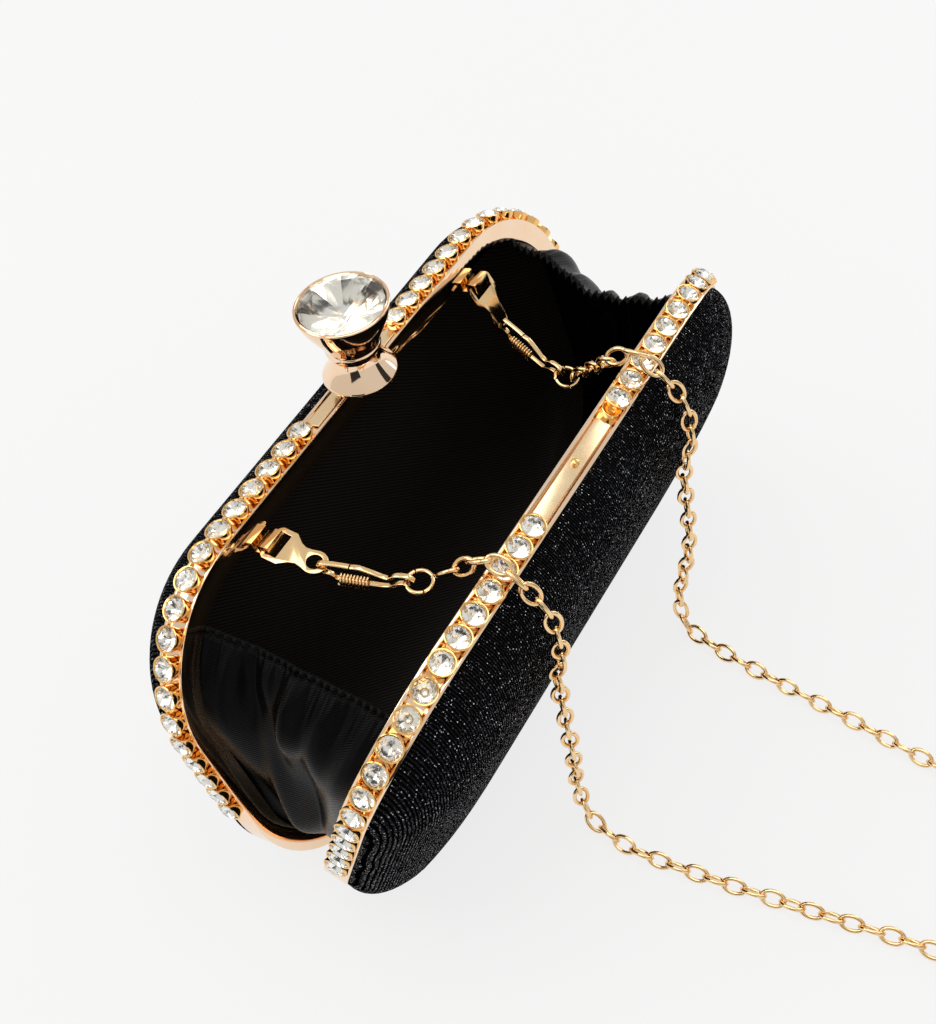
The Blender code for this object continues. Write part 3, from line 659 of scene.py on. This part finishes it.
def coil_turns():
    """Points of the coil: in on the near side, two turns below, two above, out on the far side."""
    outer = COIL_RADII[1] - CHAIN_RADIUS
    inner = COIL_RADII[0] + CHAIN_RADIUS
    low = CHAIN_RADIUS
    high = CHAIN_RADIUS * 3.0
    stops = ((0.0, outer, low), (0.9, outer, low), (1.1, inner, low), (1.9, inner, low), (2.1, inner, high),
             (2.8, inner, high), (3.1, outer, high), (3.4, outer, high), (3.5, outer, high * 0.9))
    points = []
    steps = 70
    for k in range(steps + 1):
        turn = 3.5 * k / steps
        for (t0, r0, z0), (t1, r1, z1) in zip(stops, stops[1:]):
            if t0 <= turn <= t1:
                part = (turn - t0) / (t1 - t0)
                part = part * part * (3.0 - 2.0 * part)
                radius = r0 + (r1 - r0) * part
                z = z0 + (z1 - z0) * part
        a = math.pi + 2.0 * math.pi * turn
        x = COIL_CENTRE[0] + radius * math.cos(a)
        y = COIL_CENTRE[1] + radius * math.sin(a)
        points.append(Vector((x, y, z)))
    return points


def chain_route():
    """The whole chain from the near ring to the far ring."""
    outer = COIL_RADII[1] - CHAIN_RADIUS
    into = [Vector((COIL_CENTRE[0] - outer, COIL_CENTRE[1] + 14.0 * MM, CHAIN_RADIUS))]
    out = [Vector((COIL_CENTRE[0] + outer, COIL_CENTRE[1] + 14.0 * MM, CHAIN_RADIUS * 1.5))]
    return chain_run("near") + into + coil_turns() + out + list(reversed(chain_run("far")))


def add_link(points, faces, centre, along, across, segments=20, sides=8):
    """One oval link: a round wire bent to an oval in the plane of along and across."""
    normal = along.cross(across).normalized()
    base = len(points)
    for i in range(segments):
        a = 2.0 * math.pi * i / segments
        spot = centre + along * (LINK_HALF[0] * math.cos(a)) + across * (LINK_HALF[1] * math.sin(a))
        out = (along * (LINK_HALF[1] * math.cos(a)) + across * (LINK_HALF[0] * math.sin(a))).normalized()
        for k in range(sides):
            b = 2.0 * math.pi * k / sides
            points.append(spot + out * (LINK_WIRE * math.cos(b)) + normal * (LINK_WIRE * math.sin(b)))
    for i in range(segments):
        faces += band_faces(base, sides, i, (i + 1) % segments)


def build_chain(material):
    """Every link of the strap, turned a quarter from the one before it, and each a little out of line."""
    chance = random.Random(11)
    route = smooth_path(chain_route(), CHAIN_PITCH, CHAIN_RADIUS)
    points = []
    faces = []
    for i in range(1, len(route) - 1):
        along = (route[i + 1] - route[i - 1]).normalized()
        flat = along.cross(Vector((0.0, 0.0, 1.0)))
        if flat.length < 0.3:
            flat = Vector((1.0, 0.0, 0.0))
        flat = (flat - along * flat.dot(along)).normalized()
        roll = math.radians(42.0 + 90.0 * (i % 2) + chance.uniform(-12.0, 12.0))
        across = flat * math.cos(roll) + along.cross(flat) * math.sin(roll)
        add_link(points, faces, route[i], along, across)
    chain = make_piece("chain_links", points, faces, material, 80.0)
    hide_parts("near_chain", "far_chain", "chain_coil")
    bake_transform(chain)


# ---------------------------------------------------------------- strap fittings

def band(name, path, axes, thickness, wide, material):
    """Flat wire with rounded edges bent along a smooth path of (length, up) points in millimetres."""
    origin, length, upward, width = axes
    route = smooth_path([Vector((a, b, 0.0)) for a, b in path], 0.35)
    sections = []
    for i, p in enumerate(route):
        across = (route[min(i + 1, len(route) - 1)] - route[max(i - 1, 0)]).normalized()
        normal = Vector((-across.y, across.x, 0.0))
        section = []
        for k in range(12):
            a = 2.0 * math.pi * (k + 0.5) / 12
            rise = math.copysign(abs(math.sin(a)) ** 0.55, math.sin(a)) * thickness / 2
            side = math.copysign(abs(math.cos(a)) ** 0.55, math.cos(a)) * wide / 2
            q = p + normal * rise
            section.append(origin + length * (q.x * MM) + upward * (q.y * MM) + width * (side * MM))
        sections.append(section)
    return loft(name, sections, material, sharp=50.0)


def helix_wire(name, base, axis, radius, pitch, turns, wire, material):
    """A coil spring as a curve with a round wire."""
    axis = axis.normalized()
    side = axis.orthogonal().normalized()
    other = axis.cross(side)
    curve = bpy.data.curves.new(name, "CURVE")
    curve.dimensions = "3D"
    curve.bevel_depth = wire
    curve.bevel_resolution = 2
    curve.use_fill_caps = True
    spline = curve.splines.new("POLY")
    count = turns * 16
    spline.points.add(count)
    for k, dot in enumerate(spline.points):
        a = 2.0 * math.pi * k / 16
        p = base + side * (radius * math.cos(a)) + other * (radius * math.sin(a)) + axis * (pitch * k / 16)
        dot.co = (p.x, p.y, p.z, 1.0)
    piece = bpy.data.objects.new(name, curve)
    bpy.context.scene.collection.objects.link(piece)
    curve.materials.append(material)
    return piece


def build_fittings(label, metal):
    """Lug, tab plate, snap hook with lever and spring, and the round ring at one end of the strap."""
    axes = hook_axes(label)
    origin, length, upward, width = axes
    lug = softened(f"{label}_lug", 0.16 * MM, metal)
    stand_for(lug, "back_half", "chain_gold", f"{label}_lug")
    tab = softened(f"{label}_tab", 0.14 * MM, metal)
    stand_for(tab, f"{label}_tab_plate", "chain_gold", f"{label}_tab")
    bend = []
    for k in range(9):
        a = math.radians(90.0 + 22.5 * k)
        bend.append((1.75 * math.cos(a), 1.75 * math.sin(a)))
    arm = [(1.5, -2.2), (2.8, -3.7), (6.5, -3.85), (11.0, -3.9), (15.5, -3.6), (18.5, -1.9), (21.6, -1.3)]
    hook_path = [(6.6, 1.75), (4.0, 1.85)] + bend + arm
    hook = band(f"{label}_hook_wire", hook_path, axes, 0.8, 1.45, metal)
    stand_for(hook, f"{label}_snap_hook", "chain_gold", f"{label}_hook")
    lever_path = [(7.0, 1.75), (9.0, 1.85), (12.0, 0.8), (15.5, -0.5), (17.6, 0.8), (19.0, 1.25),
                  (21.2, 1.2), (22.5, 0.1)]
    lever = band(f"{label}_lever_wire", lever_path, axes, 0.7, 1.45, metal)
    stand_for(lever, f"{label}_hook_lever", "chain_gold", f"{label}_lever")
    spring = helix_wire(f"{label}_spring_coil", origin + length * (3.1 * MM) - upward * (3.78 * MM), length,
                        1.3 * MM, 0.84 * MM, 9, 0.34 * MM, metal)
    stand_for(spring, f"{label}_snap_hook", "chain_gold", f"{label}_spring")
    centre = origin + length * RING_CENTRE
    sections = []
    for k in range(48):
        a = 2.0 * math.pi * k / 48
        out = length * math.cos(a) + width * math.sin(a)
        around = width * math.cos(a) - length * math.sin(a)
        sections.append(circle(centre + out * RING_RADIUS, around, RING_WIRE, 12))
    ring = loft(f"{label}_jump_ring_wire", sections, metal, closed=True, sharp=80.0)
    stand_for(ring, f"{label}_jump_ring", "chain_gold", f"{label}_ring")


# ---------------------------------------------------------------- shells

def dome_loop(side, inset, n):
    """The wall's outline at distance n from the parting plane, inset from the frame's outline."""
    deep = max(n - WALL_START, 0.0) / (DOME_DEPTH - WALL_START)
    top = max(TOP_RADIUS - inset, CORNER_MIN)
    bottom = max(BOTTOM_RADIUS - inset - BOTTOM_FULLNESS * deep, CORNER_MIN)
    half = HALF_LENGTH - inset
    turns = [math.pi / 2 * k / CORNER_STEPS for k in range(CORNER_STEPS + 1)]
    quarter = [(half - top + top * math.sin(a), HEIGHT - inset - top + top * math.cos(a)) for a in turns]
    quarter += [(half - bottom + bottom * math.cos(a), inset + bottom - bottom * math.sin(a)) for a in turns]
    loop = quarter + [(-x, h) for x, h in reversed(quarter)]
    return [shell_point(side, x, n, h) for x, h in loop]


def arc_profile(depth, first_inset):
    """(inset, n) along the wall's elliptical shoulder, for a skin that lies depth under the outside."""
    profile = []
    for k in range(ARC_STEPS + 1):
        a = math.pi / 2 * k / ARC_STEPS
        inset = first_inset + (FLAT_INSET - first_inset) * (1.0 - math.cos(a))
        profile.append((inset, WALL_START + (DOME_DEPTH - depth - WALL_START) * math.sin(a)))
    return profile


def build_cover(prefix, side, material):
    """Glitter cloth stretched over the half, tucked under the frame's edge."""
    tuck = 7.45 * MM
    outer = [(COVER_INSET, tuck)] + arc_profile(0.0, COVER_INSET)
    inner = [(COVER_INSET + 0.5 * MM, tuck)] + arc_profile(0.5 * MM, COVER_INSET + 0.5 * MM)
    rings = [dome_loop(side, inset, n) for inset, n in reversed(inner)]
    rings += [dome_loop(side, inset, n) for inset, n in outer]
    cover = loft(f"{prefix}_glitter_cover", rings, material, sharp=60.0)
    stand_for(cover, f"{prefix}_half", "glitter_cloth", f"{prefix}_cover")


def build_lining(prefix, side, material):
    """Ribbed cloth on the inside, with a turned edge behind the frame's flange."""
    outer = [(3.7 * MM, 1.35 * MM)] + arc_profile(2.6 * MM, 3.7 * MM)
    inner = [(4.2 * MM, 1.35 * MM)] + arc_profile(3.1 * MM, 4.2 * MM)
    rings = [dome_loop(side, inset, n) for inset, n in reversed(inner)]
    rings += [dome_loop(side, inset, n) for inset, n in outer]
    lining = loft(f"{prefix}_inner_lining", rings, material, sharp=60.0)
    stand_for(lining, f"{prefix}_half", "lining_cloth", f"{prefix}_lining")


# ---------------------------------------------------------------- frames

def frame_section(recess):
    """The frame's section in millimetres, as (n, out), with the crystals' channel recess deep."""
    section = [
        (0.15, 0.0), (1.05, 0.06), (1.5, -recess), (6.05, -recess), (6.5, 0.06), (7.4, 0.0), (7.4, -1.6),
        (1.05, -1.6), (1.05, -6.0), (0.15, -6.0),
    ]
    return rounded(section, 0.22)


def frame_loop():
    """(end, distance, channel depth) of every section round the whole frame."""
    corner = [math.pi / 2 * k / CORNER_STEPS for k in range(CORNER_STEPS + 1)]
    half = [(0.0, CHANNEL_DEPTH)]
    half += [(TOP_END + a * TOP_RADIUS, CHANNEL_DEPTH) for a in corner]
    half += [(CHANNEL_END, CHANNEL_DEPTH), (CHANNEL_END + CHANNEL_RUNOUT, 0.0)]
    half += [(SIDE_END + a * BOTTOM_RADIUS, 0.0) for a in corner]
    half.append((HALF_OUTLINE, 0.0))
    return [(1, s, r) for s, r in half] + [(-1, s, r) for s, r in reversed(half[1:-1])]


def cut_with(piece, tool, operation):
    change = piece.modifiers.new(tool.name, "BOOLEAN")
    change.operation = operation
    change.solver = "EXACT"
    change.object = tool


def build_frame(prefix, side, material):
    """One half of the frame: channel, flange and its share of the hinge's knuckles."""
    sections = []
    for end, s, recess in frame_loop():
        sections.append([on_outline(side, end, s, n * MM, out * MM) for n, out in frame_section(recess)])
    body = loft(f"{prefix}_frame_metal", sections, material, closed=True, sharp=50.0)
    along = Vector((1.0, 0.0, 0.0))
    centre = shell_point(side, 0.0, 0.0, 0.0)
    tools = []
    end_gap, round_gap = KNUCKLE_GAP
    for k in range(KNUCKLES):
        own = (k % 2 == 0) == (side > 0)
        reach = KNUCKLE_PITCH / 2 - end_gap if own else KNUCKLE_PITCH / 2 + end_gap
        radius = KNUCKLE_RADIUS if own else KNUCKLE_RADIUS + round_gap
        start = centre + along * (((k - KNUCKLES // 2) * KNUCKLE_PITCH - reach) * MM)
        whole = 2.0 * reach
        cut = KNUCKLE_CHAMFER
        profile = ((0.0, radius - cut), (cut, radius), (whole - cut, radius), (whole, radius - cut))
        tool = turned(f"{prefix}_hinge_tool_{k}", start, along, profile, material, segments=32)
        cut_with(body, tool, "UNION" if own else "DIFFERENCE")
        tools.append(tool)
    apply_modifiers(body)
    for tool in tools:
        bpy.data.objects.remove(tool)
    body.data.shade_smooth()
    body.data.set_sharp_from_angle(angle=math.radians(50.0))
    stand_for(body, f"{prefix}_half", "frame_gold", f"{prefix}_frame")


# ---------------------------------------------------------------- crystals

def brilliant(points, faces, backs, centre, axis, turn, radius, crown, table, depth):
    """A round brilliant: eight-sided table, kites and triangles to the girdle, a faceted point behind."""
    axis = axis.normalized()
    side = axis.orthogonal().normalized()
    other = axis.cross(side)

    def ring(count, r, t, offset):
        first = len(points)
        for k in range(count):
            a = turn + 2.0 * math.pi * (k + offset) / count
            points.append(centre + side * (r * math.cos(a)) + other * (r * math.sin(a)) + axis * t)
        return first

    tables = ring(8, table, crown, 0.0)
    stars = ring(8, (table + radius) * 0.53, crown * 0.5, 0.5)
    girdle = ring(16, radius, 0.0, 0.0)
    under = ring(16, radius, -radius * 0.06, 0.0)
    lower = ring(8, radius * 0.5, -depth * 0.56, 0.5)
    tip = len(points)
    points.append(centre - axis * depth)
    faces.append(tuple(tables + k for k in range(8)))
    for k in range(8):
        m = (k + 1) % 8
        faces.append((tables + k, stars + k, tables + m))
        faces.append((tables + m, stars + k, girdle + 2 * m, stars + m))
        faces.append((stars + k, girdle + 2 * k, girdle + 2 * k + 1))
        faces.append((stars + k, girdle + 2 * k + 1, girdle + 2 * m))
    for k in range(16):
        m = (k + 1) % 16
        faces.append((girdle + k, under + k, under + m, girdle + m))
    for k in range(8):
        m = (k + 1) % 8
        backs.append(len(faces))
        faces.append((lower + k, under + 2 * k + 1, under + 2 * k))
        backs.append(len(faces))
        faces.append((lower + k, under + 2 * m, under + 2 * k + 1))
        backs.append(len(faces))
        faces.append((tip, lower + m, under + 2 * m, lower + k))


def crystal_piece(name, points, faces, backs, glass, foil):
    """Flat-shaded stones with glass in front and foil behind."""
    mesh = bpy.data.meshes.new(name)
    mesh.from_pydata([tuple(p) for p in points], [], faces)
    mesh.materials.append(glass)
    mesh.materials.append(foil)
    for index in backs:
        mesh.polygons[index].material_index = 1
    made = bmesh.new()
    made.from_mesh(mesh)
    bmesh.ops.recalc_face_normals(made, faces=made.faces)
    made.to_mesh(mesh)
    made.free()
    piece = bpy.data.objects.new(name, mesh)
    bpy.context.scene.collection.objects.link(piece)
    return piece


def build_row(prefix, side, end, label, metal, glass, foil):
    """One run of round cups with a stone in each; the front's far run starts with an empty lower cup."""
    chance = random.Random(100 + 10 * end + side)
    profile = [(-0.75, 2.2), (-0.7, 2.75), (0.6, 3.0), (1.7, 3.32), (2.1, 3.36), (2.24, 3.2), (2.22, 2.98),
               (2.0, 2.86), (0.4, 2.0), (-0.3, 0.6)]
    points = []
    faces = []
    stones = []
    stone_faces = []
    backs = []
    places = [(ROW_START[end] + k * ROW_PITCH, 1.0) for k in range(ROW_STONES)]
    if side < 0 and end > 0:
        places.insert(0, (ROW_START[end] - 3.5 * MM, 0.75))
    for s, size in places:
        axis = outward(side, end, s)
        centre = on_outline(side, end, s, ROW_CENTRE, 0.0)
        drop = 0.45 * MM if size < 1.0 else 0.0
        shape = [(t * size, r * size) for t, r in profile]
        rings = turned_sections(centre - axis * drop, axis, shape, 28)
        faces += skin(rings, False, len(points))
        points += [p for section in rings for p in section]
        if size == 1.0:
            tilt = Vector((chance.uniform(-1, 1), chance.uniform(-1, 1), chance.uniform(-1, 1))) * 0.035
            brilliant(stones, stone_faces, backs, centre + axis * (1.95 * MM), axis + tilt,
                      chance.uniform(0.0, 0.785), STONE_RADIUS, 0.95 * MM, 1.75 * MM, 2.1 * MM)
    cups = make_piece(f"{prefix}_{label}_cups", points, faces, metal, 40.0)
    stand_for(cups, f"{prefix}_half", "setting_gold", f"{prefix}_cups_{label}")
    crystals = crystal_piece(f"{prefix}_{label}_stones", stones, stone_faces, backs, glass, foil)
    stand_for(crystals, f"{prefix}_half", "crystal", f"{prefix}_crystals_{label}")


# ---------------------------------------------------------------- knob and clasp

def knob_axis():
    """The foot's middle and the direction in which the knob stands."""
    n, h = KNOB_FOOT
    base = shell_point(1, KNOB_X, n, h)
    up = shell_point(1, 0.0, -math.sin(KNOB_TILT), math.cos(KNOB_TILT)) - shell_point(1, 0.0, 0.0, 0.0)
    return base, up.normalized()


def build_knob(metal, glass, foil):
    """Large stone in a flared cup with a double rim, on a waisted foot."""
    base, up = knob_axis()
    cup = ((13.0, 0.4), (13.4, 1.6), (16.8, 6.2), (21.6, 10.95), (22.5, 11.15), (22.95, 11.25),
           (23.15, 11.45), (23.05, 11.62), (22.75, 11.66), (22.7, 11.8), (22.85, 11.95), (22.75, 12.08),
           (22.4, 12.1), (21.8, 11.95), (19.5, 11.3), (16.5, 9.9), (13.5, 8.35), (11.4, 7.3), (10.6, 7.0),
           (10.3, 7.15), (10.0, 7.25), (9.3, 7.25), (8.9, 7.1), (8.5, 6.5), (7.85, 5.2), (7.8, 1.0))
    piece = turned("knob_cup_metal", base, up, cup, metal, segments=96, sharp=50.0)
    stand_for(piece, "knob", "setting_gold", "knob_cup")
    foot = ((1.1, 1.0), (1.1, 8.2), (0.3, 8.6), (0.0, 9.2), (0.05, 9.5), (0.4, 9.78), (0.9, 9.75),
            (1.2, 9.55), (2.0, 9.0), (3.2, 8.15), (4.4, 7.35), (5.4, 6.8), (6.2, 6.5), (7.5, 6.2),
            (7.6, 1.0))
    piece = turned("knob_foot_metal", base, up, foot, metal, segments=96, sharp=50.0)
    stand_for(piece, "knob", "setting_gold", "knob_foot")
    forward = up.cross(Vector((1.0, 0.0, 0.0))).normalized()
    wide = Vector((LIP_HALF_WIDTH, 0.0, 0.0))
    ends = []
    for side in (-1, 1):
        near, far = LIP_RUN
        corners = ((near, LIP_ROOT), (far, LIP_ROOT), (far, -LIP_DROP), (near, -LIP_DROP))
        ends.append([base + wide * side + forward * f + up * t for f, t in corners])
    lip = loft("knob_catch_lip", ends, metal, sharp=30.0)
    stand_for(lip, "knob", "setting_gold", "knob_foot")
    points = []
    faces = []
    backs = []
    brilliant(points, faces, backs, base + up * (22.7 * MM), up, 0.2, 10.95 * MM, 1.9 * MM, 7.2 * MM,
              8.6 * MM)
    stone = crystal_piece("knob_stone", points, faces, backs, glass, foil)
    stand_for(stone, "knob", "crystal", "knob_crystal")


def build_clasp(metal, brushed, steel):
    """Bracket, pin, spring, stud and the plain strips under the knob."""
    for prefix in ("back", "front"):
        strip = softened(f"{prefix}_plate", 0.12 * MM, brushed)
        stand_for(strip, f"{prefix}_half", "frame_gold", f"{prefix}_plate")
    bracket = softened("clasp_bracket", 0.2 * MM, metal)
    stand_for(bracket, "back_half", "setting_gold", "clasp_bracket")
    for node in ("clasp_pin", "clasp_spring", "hinge_pin"):
        pin = softened(node, 0.06 * MM, steel)
        stand_for(pin, "back_half", "steel", node)
    foot = shell_point(-1, KNOB_X, 3.6 * MM, HEIGHT - 0.08 * MM)
    stud = ((0.0, 1.0), (0.04, 1.1), (0.26, 1.1), (0.36, 0.95), (0.42, 0.82), (0.55, 0.95), (0.68, 1.0),
            (0.85, 0.97), (0.98, 0.8), (1.06, 0.5), (1.08, 0.2))
    piece = turned("clasp_stud", foot, outward(-1, 1, 0.0), stud, metal, segments=32, sharp=60.0)
    stand_for(piece, "front_half", "setting_gold", "front_stud")


# ---------------------------------------------------------------- gussets

def gusset_point(end, s, inset, across, deep):
    """A point of the cloth: across runs from -1 at the front frame to 1 at the back frame."""
    back = on_outline(1, end, s, 1.6 * MM, -inset)
    front = on_outline(-1, end, s, 1.6 * MM, -inset)
    middle = (back + front) / 2
    x, h, ox, oh = outline(s)
    return middle + (back - middle) * across - Vector((end * ox * deep, 0.0, oh * deep))


def gusset_depth(part, across, end):
    """How far the cloth sags inward: a dip in the hem, puckers below it, billows and fine gathers."""
    open_middle = 1.0 - across * across
    narrow = 1.0 - 0.7 * part
    drift = 1.1 * end + 0.9 * math.sin(2.6 * across + end)
    puckers = 2.6 * math.sin(16.0 * across + drift) * math.exp(-5.0 * part) * min(1.0, 0.15 + 9.0 * part)
    billow = 3.2 * math.sin(3.4 * across + 8.0 * part + drift)
    billow += 1.8 * math.sin(7.5 * across - 5.0 * part + end)
    billow *= min(1.0, 5.0 * part)
    dip = 2.4 * (1.0 + end * math.tanh(5.0 * (0.25 - across))) * math.exp(-3.0 * part)
    gathers = 0.35 * math.sin(HEM_GATHERS * across + 0.8 * end) * math.exp(-16.0 * part)
    folds = (puckers + billow) * narrow * open_middle ** 0.5
    return ((2.0 + dip) * open_middle + folds + gathers) * MM


def build_gusset(end, label, satin, elastic):
    """Gathered satin wedge between the halves, with an elastic in its ruffled top hem."""
    top = TOP_END + math.radians(35.5) * TOP_RADIUS
    low = SIDE_END + 0.8 * (BOTTOM_CORNER_END - SIDE_END)
    rows = 44
    columns = 90
    points = []
    faces = []
    for i in range(rows + 1):
        part = i / rows
        s = top + (low - top) * part
        for k in range(columns + 1):
            across = -1.0 + 2.0 * k / columns
            points.append(gusset_point(end, s, GUSSET_INSET, across, gusset_depth(part, across, end)))
    for i in range(rows):
        for k in range(columns):
            a = i * (columns + 1) + k
            faces.append((a, a + 1, a + columns + 2, a + columns + 1))
    cloth = make_piece(f"{label}_gusset_cloth", points, faces, satin, 180.0)
    thick = cloth.modifiers.new("thickness", "SOLIDIFY")
    thick.thickness = CLOTH_THICKNESS
    thick.offset = 0.0
    apply_modifiers(cloth)
    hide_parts(f"{label}_gusset")
    rings = []
    for k in range(columns * 2 + 1):
        across = -1.0 + k / columns
        deep = gusset_depth(0.0, across, end) + 0.45 * MM * math.sin(HEM_GATHERS * across)
        centre = gusset_point(end, top - HEM_RADIUS, GUSSET_INSET, across, deep)
        radius = HEM_RADIUS + 0.2 * MM * math.sin(2.0 * HEM_GATHERS * across)
        rings.append(circle(centre, Vector((0.0, 1.0, 0.0)), radius, 8))
    hem = loft(f"{label}_gusset_hem", rings, elastic, sharp=180.0)
    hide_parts(f"{label}_elastic")
    for piece in (cloth, hem):
        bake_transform(piece)


def dress_cad(material, *nodes):
    """A CAD piece keeps its shape and gets a detailed material."""
    for node in nodes:
        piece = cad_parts[node]
        piece.data.materials.clear()
        piece.data.materials.append(material)


# ---------------------------------------------------------------- build

place_camera()
light_studio()
lay_floor()

rose = gold("rose_gold", (0.97, 0.75, 0.56), (0.92, 0.66, 0.44), 0.06)
brushed_rose = gold("brushed_rose_gold", (0.93, 0.72, 0.46), (0.86, 0.62, 0.36), 0.22, 0.25)
warm = gold("warm_gold", (0.95, 0.62, 0.26), (0.88, 0.50, 0.16), 0.08)
chain_metal = gold("chain_gold", (0.95, 0.69, 0.38), (0.88, 0.58, 0.28), 0.12)
pin_steel = gold("pin_steel", (0.66, 0.65, 0.63), (0.55, 0.54, 0.52), 0.25)
clear_glass = crystal_glass()
mirror_foil = crystal_foil()
black_glitter = glitter_cloth()
ribbed_lining = dark_cloth("ribbed_lining", (0.0125, 0.0105, 0.0092), 430.0, 0.6, 0.06)
black_satin = dark_cloth("black_satin", (0.0014, 0.0013, 0.0015), 700.0, 0.27, 0.05)
black_elastic = dark_cloth("black_elastic", (0.003, 0.003, 0.003), 900.0, 0.6, 0.1)

build_chain(chain_metal)
for half, facing in (("back", 1), ("front", -1)):
    build_cover(half, facing, black_glitter)
    build_lining(half, facing, ribbed_lining)
    build_frame(half, facing, rose)
    for direction, name in ((-1, "near"), (1, "far")):
        build_row(half, facing, direction, name, warm, clear_glass, mirror_foil)
build_knob(rose, clear_glass, mirror_foil)
build_clasp(warm, brushed_rose, pin_steel)
for direction, name in ((-1, "near"), (1, "far")):
    build_fittings(name, chain_metal)
    build_gusset(direction, name, black_satin, black_elastic)
dress_cad(plain_board(), "back_shell", "front_shell")
